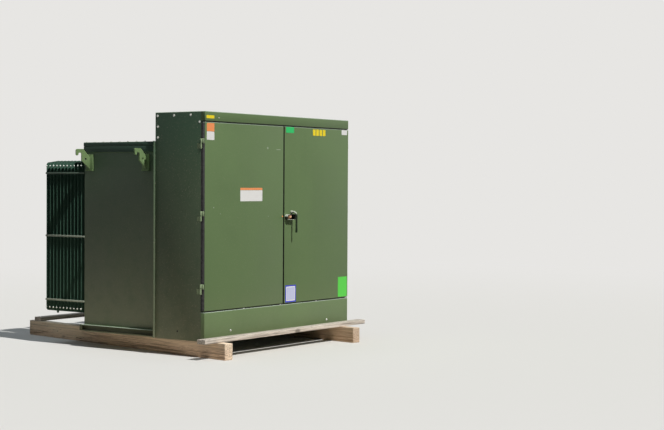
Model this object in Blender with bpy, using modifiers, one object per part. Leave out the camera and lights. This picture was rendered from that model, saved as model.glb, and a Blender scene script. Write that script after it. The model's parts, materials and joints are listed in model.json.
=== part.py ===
"""Pad-mounted power transformer on a timber skid, from ground level up.

Layout: metres, +Z up, the terminal cabinet's doors face -Y and +X is to the right as seen
from the doors. Lengths are laid out from the middle of the door plane at ground level, and an
empty then shifts the whole assembly so that the middle of its footprint is at the origin.
Heights are measured from the skid's deck, the top of its two runners.
"""

import math

import bpy
import bmesh
from mathutils import Matrix, Vector

# Sizes shared by all pieces, in metres; angles are in degrees

fit_gap = 0.0003
overrun = 0.010
overlap = 0.002
weld = 0.00001
sheet = 0.005

# Terminal cabinet

cabinet_width = 2.134
cabinet_height = 1.968
cabinet_depth = 0.566
front_flange = 0.030
rear_flange = 0.080
roof_flange = 0.055
fascia_height = 0.081
sill_height = 0.250
sill_lip = 0.020
rear_panel_lap = 0.040
rear_panel_gap = 0.004
barrier_flange = 0.030
barrier_clearance = 0.020
barrier_lift = 0.004

# Doors, hinges, bolt cup and handle

door_pan_depth = 0.027
door_standoff = 0.016
door_gap = 0.012
door_split_gap = 0.020
left_door_share = 0.52
door_lip = 0.018
stiffener_width = 0.060
stiffener_depth = 0.014
hinge_radius = 0.008
hinge_length = 0.084
hinge_out = 0.010
hinge_back = 0.035
hinge_leaf_front = 0.006
hinge_leaf_rear = 0.048
hinge_leaf_thickness = 0.004
hinge_shares = (0.1157, 0.5025, 0.8868)
cup_from_edge = 0.003
cup_width = 0.115
cup_height = 0.050
cup_depth = 0.034
cup_wall = 0.004
cup_bolt_share = 0.45
cup_bolt_radius = 0.012
cup_bolt_length = 0.013
cup_washer_radius = 0.018
cup_washer_thickness = 0.003
handle_height = 1.094
handle_from_edge = 0.105
handle_above_cup = 0.020
handle_radius = 0.009
handle_standoff = 0.060
handle_bend = 0.035
handle_length = 0.188
handle_boss_radius = 0.014
handle_boss_length = 0.012

# Tank

tank_inset = 0.030
tank_depth = 0.889
tank_wall = 0.008
front_plate_reach = 0.018
front_plate_thickness = 0.010
cabinet_step = 0.250
cover_height = 0.036
cover_reach = 0.012
cover_rear_reach = 0.004
cover_edge = 0.006
rim_height = 0.055
rim_reach = 0.008
rim_rear_reach = 0.004
rim_front_setback = 0.025
rail_height = 0.053
rail_fall = 0.012
rail_lift = 0.010
rail_reach = 0.030
rail_sheet = 0.008

# Lifting hooks, with drops measured down from their top edge

hook_plate = 0.016
hook_below_cover = 0.061
hook_front_setback = 0.134
hook_rear_setback = 0.070
hook_front_splay = 5.0
hook_rear_splay = 25.0
hook_reach = 0.129
hook_neck_reach = 0.058
hook_body_reach = 0.076
hook_tip_width = 0.024
hook_tip_drop = 0.059
hook_tip_round = 0.014
hook_notch_drop = 0.034
hook_notch_round = 0.008
hook_shoulder_drop = 0.070
hook_heel_drop = 0.104
hook_foot_drop = 0.177
hook_hole_radius = 0.010
hook_hole_reach = 0.038
hook_hole_drop = 0.091
hook_strip_width = 0.085
hook_strip_thickness = 0.010
hook_strip_top_drop = 0.048
hook_shelf_drop = 0.192
hook_shelf_thickness = 0.008
hook_shelf_reach = 0.008
hook_shelf_side = 0.002

# Radiators: banks of pressed-steel fins on two header pipes

bank_count = 6
bank_gap = 0.049
fin_count = 11
fin_pitch = 0.0447
fin_thickness = 0.012
fin_edge = 0.003
fin_edge_ramp = 0.018
fin_flutes = 4
fin_groove = 0.022
fin_gable = 0.020
fin_corner = 0.018
fin_taper = 0.045
fin_setback = 0.044
fin_below_cover = 0.161
fin_height = 1.408
header_radius = 0.030
header_from_end = 0.040
header_stub = 0.016
tie_bar_width = 0.022
tie_bar_thickness = 0.008
tie_bar_shares = (0.086, 0.506, 0.917)

# Bushings in the cabinet

hv_count = 3
hv_pitch = 0.250
hv_height = 1.250
hv_length = 0.170
hv_flange_radius = 0.068
hv_flange_thickness = 0.012
hv_body_radius = 0.046
hv_tip_radius = 0.025
hv_shoulder_share = 0.42
lv_count = 4
lv_pitch = 0.200
lv_height = 1.150
lv_flange_radius = 0.052
lv_flange_thickness = 0.010
lv_stem_radius = 0.026
lv_stem_length = 0.055
lv_spade_length = 0.095
lv_spade_height = 0.085
lv_spade_thickness = 0.014
lv_hole_radius = 0.007
lv_hole_spacing = 0.044

# Skid: two racked runners with a board across each end

runner_width = 0.089
runner_height = 0.140
runner_length = 2.920
runner_rack = 9.5
runner_overhang = 0.010
runner_front_reach = 0.235
runner_right_inset = 0.342
runner_right_lead = 0.072
runner_edge = 0.004
board_width = 0.089
board_thickness = 0.038
board_edge = 0.002
front_board_gap = 0.051
front_board_left_reach = 0.155
front_board_right_reach = 0.101
rear_board_setback = 0.175
rear_board_inset = 0.013

COLLECTION = "power_transformer"
CUTTERS = "power_transformer_cutters"

GREEN = (0.150, 0.205, 0.095)
TIMBER = (0.330, 0.230, 0.140)
GREY_TIMBER = (0.560, 0.520, 0.470)
STEEL = (0.420, 0.420, 0.400)
GLAZE = (0.260, 0.250, 0.240)

# Sizes that follow from the ones above

half_width = cabinet_width / 2
deck = runner_height
seat = deck + fit_gap
top = deck + cabinet_height
roof_low = top - sheet
side_front = door_pan_depth + door_standoff
door_low = deck + sill_height + door_gap
door_high = top - fascia_height - door_gap
split = -half_width + cabinet_width * left_door_share
latch_edge = split + door_split_gap / 2
tank_side = half_width - tank_inset
tank_front = cabinet_depth + fit_gap
plate_rear = tank_front + front_plate_thickness
tank_rear = tank_front + tank_depth
tank_top = top - cabinet_step
under_cover = tank_top - cover_height
rear_panel_low = tank_top - rear_panel_lap
fin_first = tank_rear + fin_setback
fin_last = fin_first + fin_pitch * (fin_count - 1)
fin_top = tank_top - fin_below_cover
fin_low = fin_top - fin_height


def clear_scene():
    for item in list(bpy.data.objects):
        bpy.data.objects.remove(item, do_unlink=True)


def collection(name):
    group = bpy.data.collections.get(name)
    if group is None:
        group = bpy.data.collections.new(name)
        bpy.context.scene.collection.children.link(group)
    return group


def link(item, group=COLLECTION):
    for old in list(item.users_collection):
        old.objects.unlink(item)
    collection(group).objects.link(item)
    return item


def paint(item, colour, roughness=0.5, metallic=0.0):
    material = bpy.data.materials.new(item.name + "_paint")
    material.use_nodes = True
    shader = material.node_tree.nodes["Principled BSDF"]
    shader.inputs["Base Color"].default_value = (*colour, 1.0)
    shader.inputs["Roughness"].default_value = roughness
    shader.inputs["Metallic"].default_value = metallic
    if not item.data.materials:
        item.data.materials.append(material)
    item.material_slots[0].link = "OBJECT"
    item.material_slots[0].material = material


def smooth(item, angle=50.0):
    item.data.shade_smooth()
    item.data.set_sharp_from_angle(angle=math.radians(angle))
    return item


def evaluated_mesh(item):
    bpy.context.view_layer.update()
    graph = bpy.context.evaluated_depsgraph_get()
    return bpy.data.meshes.new_from_object(item.evaluated_get(graph))


def block(name, low, high, open_face=None, lip=0.0):
    """A box between two corners. The face whose normal is open_face is left open, or keeps
    a return of the lip's width around the opening."""
    mesh = bpy.data.meshes.new(name)
    shape = bmesh.new()
    bmesh.ops.create_cube(shape, size=1.0)
    size = [high[i] - low[i] for i in range(3)]
    bmesh.ops.scale(shape, vec=Vector(size), verts=shape.verts)
    if open_face is not None:
        shape.normal_update()
        lost = [f for f in shape.faces if f.normal.dot(Vector(open_face)) > 0.9]
        if lip:
            bmesh.ops.inset_region(shape, faces=lost, thickness=lip)
        bmesh.ops.delete(shape, geom=lost, context="FACES_ONLY")
    shape.to_mesh(mesh)
    shape.free()
    item = bpy.data.objects.new(name, mesh)
    item.location = [(low[i] + high[i]) / 2 for i in range(3)]
    return link(item)


def thicken(item, thickness):
    solid = item.modifiers.new("wall", "SOLIDIFY")
    solid.thickness = thickness
    solid.offset = -1.0
    solid.use_even_offset = True
    return item


def soften(item, width, segments=1):
    bevel = item.modifiers.new("edge", "BEVEL")
    bevel.width = width
    bevel.segments = segments
    bevel.limit_method = "ANGLE"
    return item


def solid_curve(curve):
    """The curve's solid as a mesh object with its caps welded on."""
    item = link(bpy.data.objects.new(curve.name, curve))
    name, mesh, matrix = item.name, evaluated_mesh(item), item.matrix_world.copy()
    bpy.data.objects.remove(item)
    bpy.data.curves.remove(curve)
    shape = bmesh.new()
    shape.from_mesh(mesh)
    bmesh.ops.remove_doubles(shape, verts=shape.verts, dist=weld)
    bmesh.ops.recalc_face_normals(shape, faces=shape.faces)
    shape.to_mesh(mesh)
    shape.free()
    mesh.name = name
    solid = link(bpy.data.objects.new(name, mesh))
    solid.matrix_world = matrix
    return solid


def outline(name, points, depth):
    """A flat closed outline in XY, extruded by half its depth both ways along Z."""
    curve = bpy.data.curves.new(name, "CURVE")
    curve.dimensions = "2D"
    curve.fill_mode = "BOTH"
    curve.extrude = depth / 2
    spline = curve.splines.new("POLY")
    spline.points.add(len(points) - 1)
    for spot, (x, y) in zip(spline.points, points):
        spot.co = (x, y, 0.0, 1.0)
    spline.use_cyclic_u = True
    return solid_curve(curve)


def bent_rod(name, points, radius):
    curve = bpy.data.curves.new(name, "CURVE")
    curve.dimensions = "3D"
    curve.bevel_depth = radius
    curve.bevel_resolution = 3
    curve.use_fill_caps = True
    spline = curve.splines.new("POLY")
    spline.points.add(len(points) - 1)
    for spot, point in zip(spline.points, points):
        spot.co = (*point, 1.0)
    return solid_curve(curve)


def arc(centre, radius, start, stop, steps):
    """Points along an arc, with its angles in degrees counted from +X towards +Y."""
    turns = [math.radians(start + (stop - start) * k / steps) for k in range(steps + 1)]
    return [(centre[0] + radius * math.cos(t), centre[1] + radius * math.sin(t))
            for t in turns]


def rod(name, radius, start, end, sides=16):
    a, b = Vector(start), Vector(end)
    mesh = bpy.data.meshes.new(name)
    shape = bmesh.new()
    bmesh.ops.create_cone(shape, cap_ends=True, segments=sides, radius1=radius,
                          radius2=radius, depth=(b - a).length)
    shape.to_mesh(mesh)
    shape.free()
    item = bpy.data.objects.new(name, mesh)
    item.location = (a + b) / 2
    item.rotation_mode = "QUATERNION"
    item.rotation_quaternion = (b - a).to_track_quat("Z", "Y")
    return link(smooth(item))


def turned(name, profile, sides=16):
    """A profile of (radius, height) points, from the top down, turned about Z."""
    mesh = bpy.data.meshes.new(name)
    spots = [(radius, 0.0, height) for radius, height in profile]
    mesh.from_pydata(spots, [(k, k + 1) for k in range(len(spots) - 1)], [])
    item = link(bpy.data.objects.new(name, mesh))
    screw = item.modifiers.new("turn", "SCREW")
    screw.steps = screw.render_steps = sides
    screw.use_merge_vertices = True
    screw.merge_threshold = weld
    return item


def boolean(item, other, operation):
    link(other, CUTTERS)
    other.hide_render = True
    other.display_type = "WIRE"
    step = item.modifiers.new(operation.lower(), "BOOLEAN")
    step.operation = operation
    step.solver = "EXACT"
    step.object = other
    return item


def fuse(item, *others):
    for other in others:
        boolean(item, other, "UNION")
    return item


def cut(item, *others):
    for other in others:
        boolean(item, other, "DIFFERENCE")
    return item


def span(a, b):
    return min(a, b), max(a, b)


def skid():
    rack = math.radians(runner_rack)
    corners = ((-half_width - runner_overhang, -runner_front_reach),
               (half_width - runner_right_inset, -runner_front_reach - runner_right_lead))
    along = Vector((math.sin(rack), math.cos(rack)))
    across = Vector((math.cos(rack), -math.sin(rack)))
    for name, corner in zip(("runner_left", "runner_right"), corners):
        middle = Vector(corner) + along * (runner_length / 2) + across * (runner_width / 2)
        item = block(name, (-runner_width / 2, -runner_length / 2, -runner_height / 2),
                     (runner_width / 2, runner_length / 2, runner_height / 2))
        item.location = (middle.x, middle.y, runner_height / 2)
        item.rotation_euler = (0.0, 0.0, -rack)
        paint(soften(item, runner_edge), TIMBER, 0.85)

    front_rear = -front_board_gap
    rear_near = corners[0][1] + runner_length * math.cos(rack) - rear_board_setback
    face_left, face_right = [x + (rear_near - y) * math.tan(rack) for x, y in corners]
    for name, left, right, near in (
            ("front_board", -half_width - front_board_left_reach,
             half_width + front_board_right_reach, front_rear - board_width),
            ("rear_board", face_left + rear_board_inset,
             face_right + runner_width / math.cos(rack) - rear_board_inset, rear_near)):
        item = block(name, (left, near, seat),
                     (right, near + board_width, seat + board_thickness))
        paint(soften(item, board_edge), GREY_TIMBER, 0.85)


def tank():
    shell = block("tank_shell", (-tank_side, tank_front, seat),
                  (tank_side, tank_rear, under_cover), open_face=(0, 0, 1))
    plate_side = half_width + front_plate_reach
    fuse(thicken(shell, tank_wall),
         block("tank_front_plate", (-plate_side, tank_front, seat),
               (plate_side, plate_rear, tank_top)))
    paint(shell, GREEN)

    inner = tank_side + fit_gap
    outer = tank_side + rim_reach
    near = tank_front + rim_front_setback
    rear = tank_rear + rim_rear_reach
    rim = outline("tank_rim", [(-outer, near), (-inner, near),
                               (-inner, tank_rear + fit_gap), (inner, tank_rear + fit_gap),
                               (inner, near), (outer, near), (outer, rear),
                               (-outer, rear)], rim_height)
    rim.location.z = under_cover - rim_height / 2
    paint(rim, GREEN)

    reach = tank_side + cover_reach
    cover = block("tank_cover", (-reach, plate_rear + fit_gap, under_cover + fit_gap),
                  (reach, tank_rear + cover_rear_reach, tank_top))
    paint(soften(cover, cover_edge, 2), GREEN)


def base_rails():
    """Angles along the foot of the tank, with a top flange that falls outwards."""
    inner = tank_side + fit_gap
    near = plate_rear + fit_gap
    profile = [(0.0, 0.0), (rail_sheet, 0.0), (rail_sheet, rail_height - rail_sheet),
               (rail_reach, rail_height - rail_fall - rail_sheet),
               (rail_reach, rail_height - rail_fall), (0.0, rail_height)]
    low = seat + rail_lift
    for name, sign in (("base_rail_left", -1), ("base_rail_right", 1)):
        item = outline(name, [(sign * x, z) for x, z in profile], tank_rear - near)
        item.rotation_euler = (math.pi / 2, 0.0, 0.0)
        item.location = (sign * inner, (near + tank_rear) / 2, low)
        paint(item, GREEN)
    item = outline("base_rail_rear", profile, 2 * inner)
    item.rotation_euler = (math.pi / 2, 0.0, math.pi / 2)
    item.location = (0.0, tank_rear + fit_gap, low)
    paint(item, GREEN)


def hook_outline():
    """The hook's plate, as reach out from its strip and height above its top edge."""
    tip_radius = hook_tip_width / 2
    root = -hook_strip_thickness / 2
    points = [(root, -hook_foot_drop), (0.0, -hook_foot_drop),
              (hook_body_reach, -hook_heel_drop)]
    points += arc((hook_body_reach + hook_notch_round, -hook_notch_drop - hook_notch_round),
                  hook_notch_round, 180.0, 90.0, 3)
    points += arc((hook_reach - hook_tip_width - hook_notch_round,
                   -hook_notch_drop - hook_notch_round), hook_notch_round, 90.0, 0.0, 3)
    points += arc((hook_reach - tip_radius, -hook_tip_drop + tip_radius),
                  tip_radius, 180.0, 360.0, 6)
    points += arc((hook_reach - hook_tip_round, -hook_tip_round), hook_tip_round,
                  0.0, 90.0, 3)
    points += [(hook_neck_reach, 0.0), (0.0, -hook_shoulder_drop),
               (root, -hook_shoulder_drop)]
    return points


def lifting_hooks():
    hook_top = tank_top - hook_below_cover
    strip_in = tank_side + fit_gap
    face = strip_in + hook_strip_thickness
    stations = (("front", tank_front + hook_front_setback, hook_front_splay),
                ("rear", tank_rear - hook_rear_setback, hook_rear_splay))
    for side_name, sign in (("left", -1), ("right", 1)):
        for end_name, station, splay in stations:
            name = "hook_%s_%s" % (end_name, side_name)
            item = outline(name, [(sign * x, z) for x, z in hook_outline()], hook_plate)
            turn = sign * math.radians(splay)
            item.rotation_euler = (math.pi / 2, 0.0, turn)
            item.location = (sign * face, station, hook_top)
            near, far = span(sign * strip_in, sign * face)
            strip = block(name + "_strip",
                          (near, station - hook_strip_width / 2, hook_top - hook_shelf_drop),
                          (far, station + hook_strip_width / 2,
                           hook_top - hook_strip_top_drop))
            near, far = span(sign * (strip_in + overlap),
                             sign * (face + hook_shelf_reach))
            low = hook_top - hook_shelf_drop - hook_shelf_thickness / 2
            half = hook_strip_width / 2 + hook_shelf_side
            shelf = block(name + "_shelf", (near, station - half, low),
                          (far, station + half, low + hook_shelf_thickness))
            out = sign * Vector((math.cos(turn), math.sin(turn), 0.0))
            through = Vector((-math.sin(turn), math.cos(turn), 0.0))
            middle = (Vector((sign * face, station, hook_top - hook_hole_drop))
                      + hook_hole_reach * out)
            through *= hook_plate / 2 + overrun
            hole = rod(name + "_hole", hook_hole_radius, middle - through, middle + through,
                       12)
            fuse(item, strip, shelf)
            cut(item, hole)
            paint(item, GREEN)


def fin_section(half, flutes):
    """Plan section of a fin: thin welded edges, and a groove between neighbour flutes."""
    thick, thin = fin_thickness / 2, fin_edge / 2
    front = [(-half, thin), (-half + fin_edge_ramp, thick)]
    pressed = 2 * (half - fin_edge_ramp)
    for k in range(1, flutes):
        x = -half + fin_edge_ramp + pressed * k / flutes
        front += [(x - fin_groove / 2, thick), (x, thin), (x + fin_groove / 2, thick)]
    front += [(half - fin_edge_ramp, thick), (half, thin)]
    return front + [(x, -y) for x, y in reversed(front)]


def fin(name, half, flutes, tapered):
    """An upright fin whose ends rise from cut corners to a shallow gable."""
    item = outline(name, fin_section(half, flutes), fin_height)
    shape = bmesh.new()
    shape.from_mesh(item.data)
    cuts = [((0.0, 0.0, 0.0), (1.0, 0.0, 0.0))]
    if tapered:
        shoulder = fin_height / 2 - fin_gable - fin_corner - fin_taper
        cuts += [((0.0, 0.0, shoulder), (0.0, 0.0, 1.0)),
                 ((0.0, 0.0, -shoulder), (0.0, 0.0, 1.0))]
    for spot, normal in cuts:
        bmesh.ops.bisect_plane(shape, geom=shape.verts[:] + shape.edges[:] + shape.faces[:],
                               dist=weld, plane_co=spot, plane_no=normal)
    for vert in shape.verts:
        if abs(abs(vert.co.z) - fin_height / 2) < weld:
            fall = fin_gable * abs(vert.co.x) / half
            if abs(vert.co.x) > half - weld:
                fall += fin_corner
            vert.co.z -= math.copysign(fall, vert.co.z)
            if tapered:
                vert.co.y = max(-fin_edge / 2, min(fin_edge / 2, vert.co.y))
    if tapered:
        bmesh.ops.triangulate(shape, faces=shape.faces[:])
    shape.to_mesh(item.data)
    shape.free()
    return item


def bank_mesh(name, half, bar_signs):
    """One bank about its own middle: the fins on two header pipes, with spacer bars."""
    item = fin(name, half, 1, False)
    item.location = (0.0, fin_first, fin_low + fin_height / 2)
    row = item.modifiers.new("fins", "ARRAY")
    row.count = fin_count - 1
    row.use_relative_offset = False
    row.use_constant_offset = True
    row.constant_offset_displace = (0.0, fin_pitch, 0.0)
    outer = fin(name + "_outer", half, fin_flutes, True)
    outer.location = (0.0, fin_last, fin_low + fin_height / 2)
    parts = [outer]
    for z in (fin_low + header_from_end, fin_top - header_from_end):
        parts.append(rod(name + "_header", header_radius, (0.0, tank_rear + fit_gap, z),
                         (0.0, fin_last + header_stub, z), 8))
    for sign in bar_signs:
        near, far = span(sign * (half - overlap), sign * (half + tie_bar_thickness))
        for share in tie_bar_shares:
            z = fin_low + fin_height * share
            parts.append(block(name + "_bar", (near, tank_rear + fit_gap,
                                               z - tie_bar_width / 2),
                               (far, fin_last + fin_thickness / 2, z + tie_bar_width / 2)))
    fuse(item, *parts)
    mesh = evaluated_mesh(item)
    mesh.transform(item.matrix_world)
    for used in [item] + parts:
        bpy.data.objects.remove(used)
    return mesh


def radiator_banks():
    width = (2 * tank_side - bank_gap * (bank_count - 1)) / bank_count
    inner_mesh = bank_mesh("radiator_inner", width / 2, ())
    for k in range(bank_count):
        mesh = inner_mesh
        if k == 0:
            mesh = bank_mesh("radiator_left", width / 2, (-1,))
        if k == bank_count - 1:
            mesh = bank_mesh("radiator_right", width / 2, (1,))
        item = link(bpy.data.objects.new("radiator_%d" % (k + 1), mesh))
        item.location = (-tank_side + width / 2 + k * (width + bank_gap), 0.0, 0.0)
        paint(item, GREEN)


def cabinet():
    depth = cabinet_depth - side_front
    low, high = seat, roof_low - fit_gap
    profile = [(0.0, 0.0), (front_flange, 0.0), (front_flange, sheet), (sheet, sheet),
               (sheet, depth - sheet), (rear_flange, depth - sheet), (rear_flange, depth),
               (0.0, depth)]
    for name, sign in (("cabinet_side_left", 1), ("cabinet_side_right", -1)):
        item = outline(name, [(sign * x, y) for x, y in profile], high - low)
        item.location = (-sign * half_width, side_front, (low + high) / 2)
        paint(item, GREEN)

    front = [(0.0, top), (cabinet_depth, top), (cabinet_depth, roof_low),
             (sheet, roof_low), (sheet, top - fascia_height + sheet),
             (door_pan_depth, top - fascia_height + sheet),
             (door_pan_depth, top - fascia_height), (0.0, top - fascia_height)]
    roof = outline("cabinet_roof", front, cabinet_width)
    roof.rotation_euler = (math.pi / 2, 0.0, math.pi / 2)
    for sign in (-1, 1):
        near, far = span(sign * (half_width - sheet - fit_gap),
                         sign * (half_width - 2 * sheet - fit_gap))
        fuse(roof, block("cabinet_roof_flange",
                         (near, side_front + sheet + fit_gap, roof_low - roof_flange),
                         (far, cabinet_depth - sheet - fit_gap, roof_low + sheet / 2)))
        near, far = span(sign * (half_width - sheet), sign * half_width)
        fuse(roof, block("cabinet_roof_cheek", (near, 0.0, top - fascia_height),
                         (far, side_front - fit_gap, top)))
    paint(roof, GREEN)

    reach = half_width - rear_flange - fit_gap
    rear = block("cabinet_rear_panel", (-reach, cabinet_depth - sheet, rear_panel_low),
                 (reach, cabinet_depth, high))
    paint(rear, GREEN)

    sill = block("front_sill", (-half_width, 0.0, seat),
                 (half_width, side_front - fit_gap, deck + sill_height),
                 open_face=(0, 1, 0), lip=sill_lip)
    paint(thicken(sill, sheet), GREEN)

    near = side_front + barrier_clearance
    plan = [(split - sheet / 2, cabinet_depth), (split - sheet / 2, near + sheet),
            (split - barrier_flange, near + sheet), (split - barrier_flange, near),
            (split + sheet / 2, near), (split + sheet / 2, cabinet_depth)]
    low, high = deck + barrier_lift, rear_panel_low - rear_panel_gap
    barrier = outline("cabinet_barrier", plan, high - low)
    barrier.location.z = (low + high) / 2
    paint(barrier, GREEN)


def hinge_heights():
    return [door_low + (door_high - door_low) * share for share in hinge_shares]


def doors():
    for name, left, right, sign in (
            ("left_door", -half_width, split - door_split_gap / 2, -1),
            ("right_door", latch_edge, half_width, 1)):
        pivot = Vector((sign * (half_width + hinge_out), hinge_back, 0.0))
        item = block(name, (left, 0.0, door_low), (right, door_pan_depth, door_high),
                     open_face=(0, 1, 0), lip=door_lip)
        item.data.transform(Matrix.Translation(Vector(item.location) - pivot))
        item.location = pivot
        thicken(item, sheet)
        middle = (left + right) / 2
        fuse(item, block(name + "_stiffener",
                         (middle - stiffener_width / 2, sheet / 2, door_low + sheet / 2),
                         (middle + stiffener_width / 2, sheet + stiffener_depth,
                          door_high - sheet / 2)))
        near, far = span(sign * (half_width - overlap), pivot.x)
        for z in hinge_heights():
            low, high = z + fit_gap / 2, z + hinge_length / 2
            fuse(item, rod(name + "_knuckle", hinge_radius, (pivot.x, pivot.y, low),
                           (pivot.x, pivot.y, high), 12),
                 block(name + "_leaf", (near, hinge_leaf_front, low),
                       (far, hinge_back, high)))
        paint(item, GREEN)


def hinges():
    """The lower half of each hinge, on the cabinet's side."""
    for side_name, sign in (("left", -1), ("right", 1)):
        x = sign * (half_width + hinge_out)
        face = half_width + fit_gap
        near, far = span(sign * face, sign * (face + hinge_leaf_thickness))
        for end_name, z in zip(("low", "mid", "high"), hinge_heights()):
            low, high = z - hinge_length / 2, z - fit_gap / 2
            item = rod("hinge_%s_%s" % (side_name, end_name), hinge_radius,
                       (x, hinge_back, low), (x, hinge_back, high), 12)
            fuse(item, block("hinge_leaf", (near, hinge_back, low),
                             (far, hinge_back + hinge_leaf_rear, high)))
            paint(item, GREEN)


def cup_outline(inset):
    """Front view of the bolt cup about its middle, round at the door's edge."""
    radius = cup_height / 2 - inset
    half = cup_width / 2
    return (arc((-half + cup_height / 2, 0.0), radius, 90.0, 270.0, 8)
            + [(half - inset, -radius), (half - inset, radius)])


def bolt_cup():
    face = -fit_gap
    cup_top = deck + handle_height - handle_above_cup
    middle = (latch_edge + cup_from_edge + cup_width / 2, cup_top - cup_height / 2)
    item = outline("latch_plate", cup_outline(0.0), cup_depth)
    pocket = outline("latch_plate_pocket", cup_outline(cup_wall), cup_depth)
    for piece, shift in ((item, 0.0), (pocket, cup_wall)):
        piece.rotation_euler = (math.pi / 2, 0.0, 0.0)
        piece.location = (middle[0], face - cup_depth / 2 - shift, middle[1])
    bolt_x = middle[0] + cup_width * (cup_bolt_share - 0.5)
    floor = face - cup_wall
    washer_front = floor - cup_washer_thickness
    cut(item, pocket)
    fuse(item, rod("latch_washer", cup_washer_radius, (bolt_x, floor + overlap, middle[1]),
                   (bolt_x, washer_front, middle[1]), 12),
         rod("latch_bolt", cup_bolt_radius, (bolt_x, floor + overlap, middle[1]),
             (bolt_x, washer_front - cup_bolt_length, middle[1]), 5))
    paint(item, GREEN)


def handle():
    """A rod out of the door, bent down, turning about its stub."""
    face = -fit_gap
    x = latch_edge + handle_from_edge
    z = deck + handle_height
    bend = arc((-handle_standoff + handle_bend, -handle_bend), handle_bend, 90.0, 180.0, 6)
    path = [(face - overlap, 0.0)] + bend + [(-handle_standoff, -handle_length)]
    item = bent_rod("door_handle", [(0.0, y - face, up) for y, up in path], handle_radius)
    item.location = (x, face, z)
    fuse(item, rod("door_handle_boss", handle_boss_radius, (x, face, z),
                   (x, face - handle_boss_length, z), 12))
    paint(smooth(item), STEEL, 0.4, 0.8)


def bushings():
    """Terminals on the tank's front wall, with their axes along -Y."""
    face = tank_front - fit_gap
    profile = [(0.0, hv_length), (hv_tip_radius, hv_length),
               (hv_body_radius, hv_length * hv_shoulder_share),
               (hv_body_radius, hv_flange_thickness),
               (hv_flange_radius, hv_flange_thickness), (hv_flange_radius, 0.0), (0.0, 0.0)]
    for k in range(hv_count):
        x = (split - half_width) / 2 + (k - (hv_count - 1) / 2) * hv_pitch
        item = turned("hv_bushing_%d" % (k + 1), profile)
        item.rotation_euler = (math.pi / 2, 0.0, 0.0)
        item.location = (x, face, deck + hv_height)
        paint(item, GLAZE, 0.3)

    profile = [(0.0, lv_stem_length), (lv_stem_radius, lv_stem_length),
               (lv_stem_radius, lv_flange_thickness),
               (lv_flange_radius, lv_flange_thickness), (lv_flange_radius, 0.0), (0.0, 0.0)]
    for k in range(lv_count):
        x = (split + half_width) / 2 + (k - (lv_count - 1) / 2) * lv_pitch
        z = deck + lv_height
        name = "lv_bushing_%d" % (k + 1)
        item = turned(name, profile)
        item.rotation_euler = (math.pi / 2, 0.0, 0.0)
        item.location = (x, face, z)
        root = face - lv_stem_length
        spade_half = lv_spade_thickness / 2
        fuse(item, block(name + "_spade",
                         (x - spade_half, root - lv_spade_length, z - lv_spade_height / 2),
                         (x + spade_half, root + overlap, z + lv_spade_height / 2)))
        middle = root - lv_spade_length / 2
        for dy in (-1, 1):
            for dz in (-1, 1):
                y, up = middle + dy * lv_hole_spacing / 2, z + dz * lv_hole_spacing / 2
                cut(item, rod(name + "_hole", lv_hole_radius, (x - spade_half - overrun, y, up),
                              (x + spade_half + overrun, y, up), 8))
        paint(item, STEEL, 0.4, 0.8)


def centre_footprint():
    """Shift the assembly so that the middle of its footprint is at the origin."""
    bpy.context.view_layer.update()
    low = [float("inf")] * 2
    high = [float("-inf")] * 2
    graph = bpy.context.evaluated_depsgraph_get()
    for item in collection(COLLECTION).objects:
        solid = item.evaluated_get(graph)
        for vert in solid.data.vertices:
            spot = solid.matrix_world @ vert.co
            for i in range(2):
                low[i] = min(low[i], spot[i])
                high[i] = max(high[i], spot[i])
    anchor = bpy.data.objects.new("footprint_centre", None)
    collection(COLLECTION).objects.link(anchor)
    anchor.location = (-(low[0] + high[0]) / 2, -(low[1] + high[1]) / 2, 0.0)
    for group in (COLLECTION, CUTTERS):
        for item in collection(group).objects:
            if item is not anchor and item.parent is None:
                item.parent = anchor


def main():
    clear_scene()
    skid()
    tank()
    base_rails()
    lifting_hooks()
    radiator_banks()
    cabinet()
    doors()
    hinges()
    bolt_cup()
    handle()
    bushings()
    centre_footprint()


main()
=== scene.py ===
"""Looks of a pad-mounted power transformer on a timber skid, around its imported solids.

Metres, +Z up, the doors face -Y and +X is to the right as seen from the doors. Places on the
doors are given as distances from the cabinet's left side and above the skid's deck.
"""

import json
import math

import bmesh
import bpy
from bpy.props import FloatProperty, FloatVectorProperty, IntProperty, PointerProperty
from mathutils import Matrix, Vector

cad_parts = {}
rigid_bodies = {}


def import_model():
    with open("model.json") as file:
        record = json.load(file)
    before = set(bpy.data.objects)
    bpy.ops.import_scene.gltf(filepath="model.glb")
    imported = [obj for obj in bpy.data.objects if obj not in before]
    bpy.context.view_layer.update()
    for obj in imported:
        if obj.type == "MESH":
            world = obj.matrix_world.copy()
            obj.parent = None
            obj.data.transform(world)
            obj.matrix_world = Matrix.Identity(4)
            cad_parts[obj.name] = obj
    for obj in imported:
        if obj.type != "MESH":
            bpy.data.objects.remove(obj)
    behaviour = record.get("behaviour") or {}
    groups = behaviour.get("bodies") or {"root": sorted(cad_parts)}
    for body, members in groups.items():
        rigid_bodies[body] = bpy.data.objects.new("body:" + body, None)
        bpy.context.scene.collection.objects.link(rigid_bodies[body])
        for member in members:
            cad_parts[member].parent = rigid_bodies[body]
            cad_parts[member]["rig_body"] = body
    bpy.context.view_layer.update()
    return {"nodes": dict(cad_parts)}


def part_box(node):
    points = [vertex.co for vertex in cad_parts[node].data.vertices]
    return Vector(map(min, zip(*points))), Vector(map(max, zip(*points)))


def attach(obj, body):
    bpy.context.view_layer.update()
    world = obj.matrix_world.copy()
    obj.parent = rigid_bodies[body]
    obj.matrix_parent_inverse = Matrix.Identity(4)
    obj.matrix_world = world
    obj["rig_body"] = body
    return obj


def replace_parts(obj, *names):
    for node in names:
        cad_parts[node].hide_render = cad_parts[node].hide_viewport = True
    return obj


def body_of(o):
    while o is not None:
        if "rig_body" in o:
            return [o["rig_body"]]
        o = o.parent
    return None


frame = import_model()

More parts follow.
